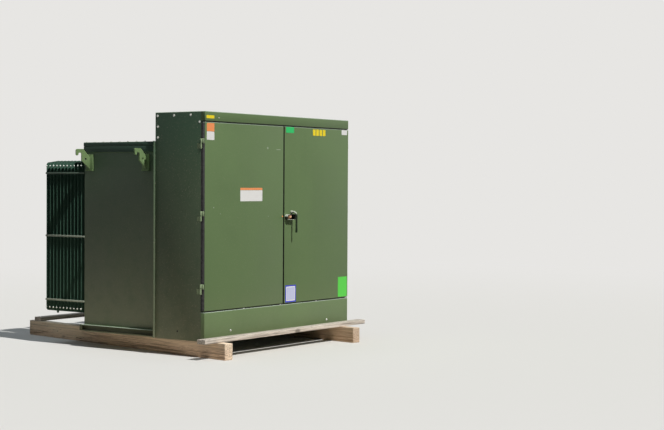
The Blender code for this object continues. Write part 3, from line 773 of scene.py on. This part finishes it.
class TRANSFORMER_OT_radiators(bpy.types.Operator):
    """Build the banks of fluted fins on their header pipes"""
    bl_idname = "transformer.radiators"
    bl_label = "Radiator banks"
    bl_options = {"REGISTER", "UNDO"}

    def fin(self, sizes, rise):
        """A pressed panel: thin welded rim, a full chamber at each end, flutes between."""
        half, thick, thin = sizes.bank_width / 2, sizes.fin_thickness / 2, 0.0015
        ramp, groove, valley = 0.018, 0.011, 0.004
        pressed = 2 * (half - ramp)
        front = [(-half, thin), (-half + 0.009, thin), (-half + ramp, thick)]
        rim = front[:]
        for k in range(1, sizes.flutes):
            x = -half + ramp + pressed * k / sizes.flutes
            front += [(x - groove, thick), (x - valley, thin), (x + valley, thin),
                      (x + groove, thick)]
        front += [(-x, y) for x, y in reversed(rim)]
        front.insert(len(front) // 2, (0.0, thick if sizes.flutes % 2 else thin))
        part = bmesh.new()
        spots, edges = ring_of(part, [(x, y, 0) for x, y in front]
                               + [(x, -y, 0) for x, y in reversed(front)])
        rows = [spots]
        bmesh.ops.contextual_create(part, geom=edges)
        ends = [0.0, 0.014, 0.058, 0.085, 0.112]
        levels = ends + [rise - z for z in reversed(ends)]
        for low, high in zip(levels, levels[1:]):
            edges, spots = drawn(part, edges, (0, 0, high - low))
            rows.append(spots)
        bmesh.ops.contextual_create(part, geom=edges)
        for k, row in enumerate(rows):
            step = min(k, len(rows) - 1 - k)
            if step > 3:
                continue
            for spot in row:
                x, y = spot.co.x, spot.co.y
                full = thick if abs(x) < half - 0.012 else thin
                spot.co.y = math.copysign(thin if step < 2 else full, y)
                if step < 3:
                    fall = sizes.gable * abs(x) / half
                    outer = max(0.0, (abs(x) - half + ramp) / ramp)
                    fall += sizes.corner * outer * outer
                    spot.co.z += fall if k < 4 else -fall
        return closed(part)

    def execute(self, context):
        sizes = context.scene.transformer_sizes
        low, high = (corner.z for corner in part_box("radiator_1"))
        first = TANK_REAR + sizes.fin_setback
        stations = [first + sizes.fin_pitch * n for n in range(sizes.fin_count)]
        last, seat = stations[-1], TANK_REAR + SEAT
        leaf = self.fin(sizes, high - low)
        count = sum(1 for node in frame["nodes"] if node.startswith("radiator_"))
        left, right = TANK_WALL[-1], TANK_WALL[1]
        step = (right - left - sizes.bank_width) / (count - 1)
        reach, r, inset = last + 0.016 - TANK_REAR - SEAT, sizes.header, 0.040
        for k in range(count):
            middle = left + sizes.bank_width / 2 + step * k
            shape = bmesh.new()
            stamp(shape, leaf, [Matrix.Translation((middle, y, low)) for y in stations])
            for z in (low + inset, high - inset):
                turned(shape, [(0, reach), (r * 0.7, reach - 0.001), (r, reach - 0.006),
                               (r, 0.007), (r + 0.004, 0.005), (r + 0.006, 0), (0, 0)],
                       facing((middle, seat, z), BACKWARD), 28)
            turned(shape, [(0, 0.030), (0.010, 0.030), (0.011, 0.026), (0.011, 0.014),
                           (0.014, 0.012), (0.014, 0), (0, 0)],
                   facing((middle, last + 0.006, low + inset - r + 0.002), DOWN), 6)
            node = "radiator_%d" % (k + 1)
            item = cast(node + "_fins", shape, "housing", finish("fin_paint"))
            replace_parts(item, node)

        # Near white bulges at the fins' corners: painted highlight for the glints there
        bulge = bmesh.new()
        bmesh.ops.create_uvsphere(bulge, u_segments=10, v_segments=6, radius=1.0)
        bmesh.ops.scale(bulge, vec=(0.0060, 0.0080, 0.0080), verts=bulge.verts)
        shape = bmesh.new()
        stamp(shape, closed(bulge), [Matrix.Translation((side, y, z))
                                     for side in (left, right) for y in stations
                                     for z in (low + 0.050, high - 0.050)])
        cast("fin_corner_welds", shape, "housing", finish("weld"))

        tall = 0.008
        for sign, name in SIDES:
            shape = bmesh.new()
            side = TANK_WALL[sign]
            inner, outer = sorted((side - sign * 0.002, side + sign * 0.008))
            for share in (0.086, 0.506, 0.917):
                z = low + (high - low) * share
                plate(shape, (inner, seat, z - tall), (outer, last + 0.006, z + tall), 0.0015)
                for y in stations:
                    for edge in (z - tall, z + tall):
                        bead(shape, (side, y - 0.004, edge), (side, y + 0.004, edge),
                             0.0025, 0.004)
            cast("tie_bars_" + name, shape, "housing", finish("bar_paint"))
        return {"FINISHED"}


class TRANSFORMER_OT_lid(bpy.types.Operator):
    """Add the bolts along the tank's cover and the weld beads of tank, rim, rails and hooks"""
    bl_idname = "transformer.lid"
    bl_label = "Cover bolts and welds"
    bl_options = {"REGISTER", "UNDO"}

    def execute(self, context):
        sizes = context.scene.transformer_sizes
        inset, top = 0.022, COVER[1].z
        left, right = COVER[0].x + inset, COVER[1].x - inset
        near, rear = COVER[0].y + 0.045, COVER[1].y - inset
        spots = [(x, near + (rear - near) * k / 8, top) for x in (left, right)
                 for k in range(9)]
        spots += [(left + (right - left) * k / 20, rear, top) for k in range(1, 20)]
        shape = bmesh.new()
        stamp(shape, bolt_part(sizes.bolt), [facing(spot, UP) for spot in spots])
        cast("cover_bolts", shape, "housing", finish("zinc"))

        shape = bmesh.new()
        r, short = sizes.weld, 0.01
        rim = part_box("tank_rim")
        for sign, name in SIDES:
            side = TANK_WALL[sign] + sign * r * 0.2
            bead(shape, (side, rim[0].y, rim[0].z), (side, TANK_REAR, rim[0].z), r)
            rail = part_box("base_rail_" + name)
            bead(shape, (side, rail[0].y + short, rail[1].z),
                 (side, rail[1].y - short, rail[1].z), r)
        back = TANK_REAR + r * 0.2
        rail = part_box("base_rail_rear")
        for start, end, z in ((TANK_WALL[-1], TANK_WALL[1], rim[0].z),
                              (rail[0].x, rail[1].x, rail[1].z)):
            bead(shape, (start + short, back, z), (end - short, back, z), r)
        r *= 0.8
        for sign, side in SIDES:
            strip = TANK_WALL[sign] + sign * 0.002
            hook = TANK_WALL[sign] + sign * 0.0103
            for end, setback in (("front", 0.134), ("rear", TANK_LENGTH - 0.070)):
                low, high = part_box("hook_%s_%s" % (end, side))
                station = FRONT_LEFT.y + TANK_START + setback
                top = high.z - 0.048
                for y in (station - 0.0425, station + 0.0425):
                    bead(shape, (strip, y, top - 0.004), (strip, y, low.z + 0.012), r)
                bead(shape, (strip, station - 0.040, top), (strip, station + 0.040, top), r)
                for y in (station - 0.008, station + 0.008):
                    bead(shape, (hook, y, high.z - 0.074), (hook, y, high.z - 0.172), r)
        cast("weld_beads", shape, "housing", finish("green_paint"), 60.0)
        return {"FINISHED"}


class TRANSFORMER_OT_fasteners(bpy.types.Operator):
    """Add the bolts of the cabinet's walls, sill and fascia, and the clips on the sill"""
    bl_idname = "transformer.fasteners"
    bl_label = "Cabinet bolts and clips"
    bl_options = {"REGISTER", "UNDO"}

    def execute(self, context):
        sizes = context.scene.transformer_sizes
        wall = ((0.540, 1.937), (0.350, 1.937), (0.160, 1.938), (0.061, 1.877),
                (0.537, 1.843), (0.537, 1.749))
        places = [facing(on_side(y, z, sign), (sign, 0, 0)) for sign in (-1, 1)
                  for y, z in wall]
        places += [facing(on_front(x, z), FORWARD)
                   for x, z in ((0.352, 0.073), (1.789, 0.063))]
        shape = bmesh.new()
        stamp(shape, bolt_part(sizes.bolt), places)
        stamp(shape, bolt_part(sizes.bolt * 0.7, 12, False),
              [facing(on_front(0.181, 1.916), FORWARD)])
        cast("cabinet_bolts", shape, "housing", finish("zinc"))

        # Painted shade: dark domed dots on the side walls for the shade inside small holes
        shape = bmesh.new()
        for sign in (-1, 1):
            turned(shape, [(0, 0.0012), (0.005, 0.0014), (0.0075, 0.0008), (0.008, 0), (0, 0)],
                   facing(on_side(0.306, 0.074, sign), (sign, 0, 0)), 20)
        cast("wall_plugs", shape, "housing", finish("rubber"))

        clips = []
        for x in (0.537, 1.068, 1.622, 2.104):
            spot = on_front(x, 0.0)
            clips.append(((spot.x - 0.010, spot.y + 0.0012, SILL_TOP + SEAT),
                          (spot.x + 0.010, spot.y + 0.0066, SILL_TOP + 0.0064)))
        plates("sill_clips", "housing", "zinc", clips, 0.0008)
        return {"FINISHED"}


class TRANSFORMER_OT_hinge_bolts(bpy.types.Operator):
    """Add the bolts on the hinges' leaves and the ends of their pins"""
    bl_idname = "transformer.hinge_bolts"
    bl_label = "Hinge bolts"
    bl_options = {"REGISTER", "UNDO"}

    def execute(self, context):
        shape = bmesh.new()
        head = bolt_part(context.scene.transformer_sizes.bolt * 0.5, 6, False)
        inset = 0.008
        for node in sorted(n for n in frame["nodes"] if n.startswith("hinge_")):
            low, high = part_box(node)
            sign = -1 if "left" in node else 1
            face = CABINET_WALL[sign] + sign * 0.0043
            stamp(shape, head, [facing((face, high.y - 0.017, low.z + up), (sign, 0, 0))
                                for up in (0.010, 0.032)])
            x = low.x + inset if sign < 0 else high.x - inset
            turned(shape, [(0, 0.004), (0.003, 0.0036), (0.0045, 0.002), (0.0045, 0), (0, 0)],
                   facing((x, low.y + inset, low.z + SEAT), DOWN), 14)
        cast("hinge_bolts", shape, "housing", finish("hinge"))
        return {"FINISHED"}


class TRANSFORMER_OT_latch(bpy.types.Operator):
    """Build the bolt cup, its bolt and the handle on the right door"""
    bl_idname = "transformer.latch"
    bl_label = "Bolt cup and handle"
    bl_options = {"REGISTER", "UNDO"}

    def cup(self, low, high, wall):
        """A dish with a round left end, deeper on the right, open forward."""
        wide, tall, depth = high.x - low.x, high.z - low.z, high.y - low.y
        part = rectangle(wide, tall)
        round_corners(part, [v for v in part.verts if v.co.x < 0], tall / 2 - 0.0005, 10)
        top = thicken(part, part.faces[:], (0, 0, depth))
        bmesh.ops.recalc_face_normals(part, faces=part.faces)
        bmesh.ops.inset_region(part, faces=top, thickness=wall)
        thicken(part, top, (0, 0, -depth + wall))
        bmesh.ops.delete(part, geom=[f for f in top if f.is_valid], context="FACES_ONLY")
        soften(part, [e for e in part.edges if all(v.co.z > depth - 1e-5 for v in e.verts)],
               0.0010)
        for spot in part.verts:
            if spot.co.z > depth / 2:
                spot.co.z *= 0.94 + 0.20 * min(1.0, spot.co.x / wide + 0.5)
        shape = bmesh.new()
        joined(shape, part, Matrix.Translation(((low.x + high.x) / 2, high.y,
                                                (low.z + high.z) / 2)) @ UPRIGHT)
        return shape

    def rod(self, low, high):
        """A rod that stands off the door, bends and hangs down, with its collar."""
        radius, bend = 0.009, 0.035
        x, z = (low.x + high.x) / 2, high.z - 0.014
        stand = high.y - low.y - radius
        part = bmesh.new()
        bmesh.ops.create_circle(part, cap_ends=True, segments=20, radius=radius)
        ring = drawn(part, part.edges[:], (0, 0, stand - bend))[0]
        made = bmesh.ops.spin(part, geom=ring, cent=(0, -bend, stand - bend), axis=(1, 0, 0),
                              angle=math.pi / 2, steps=8)["geom_last"]
        ring = drawn(part, only(EDGE, made), (0, low.z - z + bend, 0))[0]
        bmesh.ops.contextual_create(part, geom=ring)
        soften(part, ring, 0.0015)
        shape = bmesh.new()
        joined(shape, part, Matrix.Translation((x, high.y, z)) @ UPRIGHT)
        turned(shape, [(0, 0.012), (0.0115, 0.012), (0.014, 0.0100), (0.014, 0), (0, 0)],
               facing((x, high.y, z), FORWARD), 24)
        return shape

    def execute(self, context):
        low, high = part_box("latch_plate")
        wall, fill = 0.004, 0.0015
        cup = cast("latch_cup", self.cup(low, high, wall), "right_door", finish("cup_steel"))
        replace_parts(cup, "latch_plate")

        # Painted shade: a black block deep in the cup, for the shade inside it
        shape = bmesh.new()
        back, middle = high.y - wall, (low.z + high.z) / 2
        plate(shape, (low.x + 0.024, back - fill, middle - 0.0205),
              (high.x - 0.0045, back - SEAT, middle + 0.0205), 0.001)
        turned(shape, [(0, fill), (0.0205, fill), (0.0205, SEAT), (0, SEAT)],
               facing((low.x + 0.0255, back, middle), FORWARD), 28)
        cast("latch_cup_lining", shape, "right_door", finish("rubber"))

        shape = bmesh.new()
        spot = facing((low.x + (high.x - low.x) * 0.41, back - fill, middle + 0.003), FORWARD)
        turned(shape, [(0, 0.0195), (0.0145, 0.0195), (0.0155, 0.0183), (0.0155, 0), (0, 0)],
               spot, 28)
        turned(shape, [(0, 0.0310), (0.0105, 0.0310), (0.0130, 0.0290), (0.0130, 0.0195),
                       (0, 0.0195)], spot, 5)
        cast("latch_bolt", shape, "right_door", finish("bronze"), 25.0)

        rod = cast("handle_rod", self.rod(*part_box("door_handle")), "door_handle",
                   finish("handle_steel"))
        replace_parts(rod, "door_handle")
        return {"FINISHED"}


class TRANSFORMER_OT_door_details(bpy.types.Operator):
    """Add the doors' gasket seals, dark strips of painted shade in their gaps, and the plain
    patches stuck on the front
    """
    bl_idname = "transformer.door_details"
    bl_label = "Door seals and patches"
    bl_options = {"REGISTER", "UNDO"}

    def seals(self):
        """Dark strips: gaskets behind the doors, and painted shade that blacks out the gaps
        between them and around them.
        """
        back, depth, width, inset = FRONT_LEFT.y + 0.0273, 0.012, 0.012, 0.003
        for body in ("left_door", "right_door"):
            low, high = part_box(body)
            left = max(low.x, FRONT_LEFT.x) + inset
            right = min(high.x, FRONT_RIGHT.x) - inset
            base, top = low.z + inset, high.z - inset
            part = rectangle(right - left, top - base)
            core = part.faces[:]
            bmesh.ops.inset_region(part, faces=core, thickness=width, use_boundary=True,
                                   use_even_offset=True)
            bmesh.ops.delete(part, geom=core, context="FACES")
            thicken(part, part.faces[:], (0, 0, depth))
            bmesh.ops.recalc_face_normals(part, faces=part.faces)
            soften(part, sharp(part, 1.0), 0.002)
            shape = bmesh.new()
            joined(shape, part, Matrix.Translation(((left + right) / 2, back + depth,
                                                    (base + top) / 2)) @ UPRIGHT)
            cast(body + "_seal", shape, body, finish("rubber"))

        barrier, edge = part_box("cabinet_barrier")[0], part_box("right_door")[0]
        low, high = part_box("left_door")
        meet, floor, ceiling = (high.x + edge.x) / 2, low.z + 0.004, high.z - 0.004
        thin = 0.0004
        # Painted shade: black strips behind and along the doors' meeting edges, darkening the
        # gap between the doors
        plates("barrier_seal", "housing", "rubber",
               [((meet - 0.024, barrier.y - 0.0153, floor),
                 (meet + 0.024, barrier.y - SEAT, ceiling))], 0.003)
        plates("meeting_edge_seal", "right_door", "rubber",
               [((edge.x - 0.0014, edge.y + 0.0012, floor),
                 (edge.x - 0.0002, edge.y + 0.024, ceiling))], thin)
        # Painted shade on the doors' outer returns: a grey strip at the front and a black one
        # behind it
        for sign, side in SIDES:
            wall = CABINET_WALL[sign]
            inner, outer = sorted((wall + sign * 0.0002, wall + sign * 0.0012))
            for tail, start, stop, look in (("", 0.0025, 0.0225, "strip"),
                                            ("_rear", 0.0227, 0.0415, "rubber")):
                plates(side + "_return_strip" + tail, side + "_door", look,
                       [((inner, edge.y + start, floor), (outer, edge.y + stop, ceiling))],
                       thin)

        # Painted shade: black blocks in the gaps above and below the doors and at their ends
        front, gap = FRONT_LEFT.y, 0.0055
        left, right = FRONT_LEFT.x + 0.001, FRONT_RIGHT.x - 0.001
        sill, roof = SILL_TOP + SEAT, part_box("cabinet_roof")[0].z - SEAT
        blocks = [((left, front + 0.0035, sill), (right, front + 0.020, low.z - gap)),
                  ((left, front + 0.002, high.z + gap), (right, front + 0.014, roof))]
        for x0, x1 in ((left, left + 0.010), (right - 0.010, right)):
            blocks += [((x0, front + 0.0143, high.z + 0.0015), (x1, front + 0.042, roof)),
                       ((x0, front + 0.0203, sill), (x1, front + 0.042, low.z - 0.0015))]
        plates("frame_seals", "housing", "rubber", blocks, 0.0015)

    def execute(self, context):
        self.seals()
        shape = bmesh.new()
        for x, z, wide, tall in ((0.868, 1.673, 0.020, 0.018), (1.026, 1.662, 0.074, 0.006),
                                 (0.118, 1.145, 0.010, 0.012), (0.205, 1.090, 0.008, 0.006),
                                 (0.880, 1.060, 0.010, 0.005)):
            part = bmesh.new()
            bmesh.ops.create_circle(part, cap_ends=True, segments=11, radius=0.5)
            bmesh.ops.scale(part, vec=(wide, tall, 1), verts=part.verts)
            for k, spot in enumerate(part.verts):
                spot.co *= 1.0 + 0.22 * math.sin(k * 2.4 + x * 9)
            thicken(part, part.faces[:], (0, 0, 0.0002))
            joined(shape, part, facing(on_front(x, z, 0.0001), FORWARD))
        cast("left_door_scuffs", shape, "left_door", finish("patch_scuff"))

        thickness = context.scene.transformer_sizes.patch
        marks = [(1.554 + k * 0.053, 1.863, 1.554 + k * 0.053 + 0.042, 1.805)
                 for k in range(4)]
        for name, body, look, layer, *areas in (
                ("edge_patch", "housing", "yellow", 0.25, (0.018, 1.934, 0.121, 1.908)),
                ("corner_patch_top", "left_door", "orange", 0.25,
                 (0.023, 1.868, 0.122, 1.797)),
                ("corner_patch_low", "left_door", "white", 0.25, (0.023, 1.795, 0.122, 1.724)),
                ("middle_patch_band", "left_door", "orange", 0.25,
                 (0.479, 1.315, 0.791, 1.296)),
                ("middle_patch", "left_door", "white", 0.25, (0.479, 1.294, 0.791, 1.197)),
                ("top_patch", "right_door", "green", 0.25, (1.138, 1.873, 1.260, 1.819)),
                ("mark_blocks", "right_door", "yellow", 0.25, *marks),
                ("far_patch", "right_door", "white", 0.25, (2.022, 1.872, 2.114, 1.826)),
                ("low_patch_blue", "right_door", "blue", 0.25, (1.137, 0.422, 1.298, 0.266)),
                ("low_patch_panel", "right_door", "white", 1.3, (1.149, 0.410, 1.286, 0.278)),
                ("low_patch_field", "right_door", "field", 2.6, (1.157, 0.402, 1.278, 0.286)),
                ("low_patch_lime", "right_door", "lime", 0.25, (1.974, 0.459, 2.122, 0.268)),
                ("edge_tag", "left_door", "orange", 0.25, (1.083, 1.062, 1.095, 1.048))):
            shape = bmesh.new()
            for x0, z1, x1, z0 in areas:
                part = rectangle(x1 - x0, z1 - z0)
                round_corners(part, part.verts[:], 0.005, 4)
                thicken(part, part.faces[:], (0, 0, thickness))
                spot = on_front((x0 + x1) / 2, (z0 + z1) / 2, thickness * layer)
                joined(shape, part, facing(spot, FORWARD))
            cast(name, shape, body, finish("patch_" + look))
        return {"FINISHED"}


class TRANSFORMER_OT_skid(bpy.types.Operator):
    """Finish the runners and boards as sawn timber, with nails through the boards"""
    bl_idname = "transformer.skid"
    bl_label = "Timber skid"
    bl_options = {"REGISTER", "UNDO"}

    def execute(self, context):
        for node, wood, slot in (("runner_left", "runner_wood_left", WOOD_SLOT),
                                 ("runner_right", "runner_wood_right", WOOD_SLOT),
                                 ("front_board", "front_board_wood", BOARD_SLOT),
                                 ("rear_board", "rear_board_wood", BOARD_SLOT)):
            dressed(node, finish(wood))
        nail, half_runner = bmesh.new(), 0.045
        turned(nail, [(0, 0.0012), (0.0045, 0.0010), (0.0055, 0.0), (0, 0)], Matrix(), 14)
        spots = []
        for node in ("front_board", "rear_board"):
            low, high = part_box(node)
            for runner in ("runner_left", "runner_right"):
                a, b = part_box(runner)
                share = ((low.y + high.y) / 2 - a.y) / (b.y - a.y)
                x = a.x + half_runner + (b.x - a.x - 2 * half_runner) * share
                spots += [(x - 0.018, low.y + 0.024, high.z),
                          (x + 0.020, high.y - 0.026, high.z)]
        shape = bmesh.new()
        stamp(shape, closed(nail), [facing(spot, UP) for spot in spots])
        cast("board_nails", shape, "housing", finish("zinc"))
        return {"FINISHED"}


class TRANSFORMER_OT_bushings(bpy.types.Operator):
    """Finish the bushings in the cabinet, with the studs of their flanges"""
    bl_idname = "transformer.bushings"
    bl_label = "Bushings"
    bl_options = {"REGISTER", "UNDO"}

    def execute(self, context):
        places = []
        for node in sorted(n for n in frame["nodes"] if "bushing" in n):
            look, slot, ring, flange = (("glaze", GLAZE_SLOT, 0.057, 0.012)
                                        if node.startswith("hv")
                                        else ("tin", STEEL_SLOT, 0.040, 0.010))
            dressed(node, finish(look), angle=30.0)
            low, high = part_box(node)
            x, z = (low.x + high.x) / 2, (low.z + high.z) / 2
            for k in range(4):
                turn = math.pi / 4 + k * math.pi / 2
                places.append(facing((x + ring * math.cos(turn), high.y - flange,
                                      z + ring * math.sin(turn)), FORWARD))
        shape = bmesh.new()
        stamp(shape, bolt_part(context.scene.transformer_sizes.bolt * 0.8), places)
        cast("bushing_studs", shape, "housing", finish("zinc"))
        return {"FINISHED"}


class TRANSFORMER_OT_stage(bpy.types.Operator):
    """Set the floor, the light and the camera"""
    bl_idname = "transformer.stage"
    bl_label = "Stage"
    bl_options = {"REGISTER", "UNDO"}

    def execute(self, context):
        scene = context.scene
        stage, pale = scene.transformer_stage, colours().floor
        part = bmesh.new()
        bmesh.ops.create_circle(part, cap_ends=True, segments=96, radius=60.0)
        mesh = bpy.data.meshes.new("floor")
        part.to_mesh(mesh)
        part.free()
        self.placed("floor", mesh)
        mesh.materials.append(self.floor_finish(pale))

        world = bpy.data.worlds.new("studio")
        scene.world = world
        world.use_nodes = True
        tree = world.node_tree
        tree.nodes.clear()
        fill, seen = (tree.nodes.new("ShaderNodeBackground") for k in range(2))
        fill.inputs[0].default_value = (0.80, 0.91, 1.0, 1.0)
        fill.inputs[1].default_value = stage.sky
        seen.inputs[0].default_value = (*pale, 1.0)
        self.blend(tree, self.seen_rays(tree), fill, seen,
                   tree.nodes.new("ShaderNodeOutputWorld"))

        for name, strength, spread, tint, towards in (
                ("key", stage.sun, 1.5, (1.0, 0.98, 0.94), (-0.075, -0.59, 0.80)),
                ("overhead", stage.overhead, 40.0, (0.80, 0.92, 1.0), (0.0, 0.20, 0.98))):
            light = bpy.data.lights.new(name, "SUN")
            light.energy, light.angle, light.color = strength, math.radians(spread), tint
            lamp = self.placed(name, light)
            lamp.rotation_euler = Vector(towards).to_track_quat("Z", "Y").to_euler()

        camera = bpy.data.cameras.new("camera")
        camera.lens, camera.sensor_width, camera.clip_end = stage.lens, 36.0, 200.0
        yaw, pitch, roll = CAMERA_TURN
        ahead = Vector((math.sin(yaw) * math.cos(pitch), math.cos(yaw) * math.cos(pitch),
                        math.sin(pitch)))
        right = Vector((math.cos(yaw), -math.sin(yaw), 0.0))
        up = right.cross(ahead)
        right, up = (right * math.cos(roll) + up * math.sin(roll),
                     up * math.cos(roll) - right * math.sin(roll))
        place = Matrix((right, up, -ahead)).transposed().to_4x4()
        x, y, z = CAMERA_SPOT
        place.translation = FRONT_LEFT + Vector((x, y, z + DECK - FRONT_LEFT.z))
        scene.camera = self.placed("camera", camera)
        scene.camera.matrix_world = place
        scene.view_settings.view_transform = "Standard"
        return {"FINISHED"}

    def placed(self, name, data):
        item = bpy.data.objects.new(name, data)
        bpy.context.scene.collection.objects.link(item)
        return item

    def blend(self, tree, factor, first, second, out):
        """Shows the first shader where the factor is zero and the second where it is one."""
        mix = tree.nodes.new("ShaderNodeMixShader")
        for socket, source in zip(mix.inputs, (factor, first.outputs[0], second.outputs[0])):
            tree.links.new(source, socket)
        tree.links.new(mix.outputs[0], out.inputs[0])

    def seen_rays(self, tree):
        """One for rays from the camera, a mirror or glass, and zero for the rest."""
        path = tree.nodes.new("ShaderNodeLightPath")
        value = path.outputs["Is Camera Ray"]
        for name in ("Is Glossy Ray", "Is Transmission Ray"):
            add = tree.nodes.new("ShaderNodeMath")
            add.operation = "MAXIMUM"
            tree.links.new(value, add.inputs[0])
            tree.links.new(path.outputs[name], add.inputs[1])
            value = add.outputs[0]
        return value

    def floor_finish(self, pale):
        """A pale floor that darkens only for bounced light and fades into the backdrop."""
        look = Finish("floor", pale, 0.9)
        look.shade = tuple(colours().bounce)
        seen = self.seen_rays(look.tree)
        far = look.node("ShaderNodeVectorMath", operation="LENGTH")
        look.feed(far.inputs[0], look.spot)
        away = far.outputs["Value"]
        look.mix(look.level(away, 1.3, 2.5), (0.06, 0.06, 0.06))
        look.mix(seen, scaled(pale, 0.86))
        look.done()
        glow = look.node("ShaderNodeEmission")
        look.feeds(glow, {0: (*pale, 1.0), 1: seen})
        fade = look.maths("MULTIPLY", look.level(away, 3.0, 14.0), seen)
        self.blend(look.tree, fade, look.shader, glow, look.tree.nodes["Material Output"])
        return look.material


PIECES = (TRANSFORMER_OT_enclosure, TRANSFORMER_OT_rails, TRANSFORMER_OT_radiators,
          TRANSFORMER_OT_lid, TRANSFORMER_OT_fasteners, TRANSFORMER_OT_hinge_bolts,
          TRANSFORMER_OT_latch, TRANSFORMER_OT_door_details, TRANSFORMER_OT_skid,
          TRANSFORMER_OT_bushings, TRANSFORMER_OT_stage)
SETTINGS = {"transformer_colours": TransformerColours, "transformer_sizes": TransformerSizes,
            "transformer_stage": TransformerStage}


class TRANSFORMER_PT_panel(bpy.types.Panel):
    """Lists the settings and the pieces."""
    bl_label = "Power transformer"
    bl_category = "Transformer"
    bl_space_type = "VIEW_3D"
    bl_region_type = "UI"

    def draw(self, context):
        for name, group in SETTINGS.items():
            column = self.layout.column()
            for key in group.__annotations__:
                column.prop(getattr(context.scene, name), key)
        for piece in PIECES:
            self.layout.operator(piece.bl_idname)


def register():
    for item in (*SETTINGS.values(), *PIECES, TRANSFORMER_PT_panel):
        bpy.utils.register_class(item)
    for name, group in SETTINGS.items():
        setattr(bpy.types.Scene, name, PointerProperty(type=group))


def unregister():
    for name in SETTINGS:
        delattr(bpy.types.Scene, name)
    for item in (TRANSFORMER_PT_panel, *reversed(PIECES), *SETTINGS.values()):
        bpy.utils.unregister_class(item)


def main():
    register()
    for piece in PIECES:
        group, name = piece.bl_idname.split(".")
        getattr(getattr(bpy.ops, group), name)()


if __name__ == "__main__":
    main()
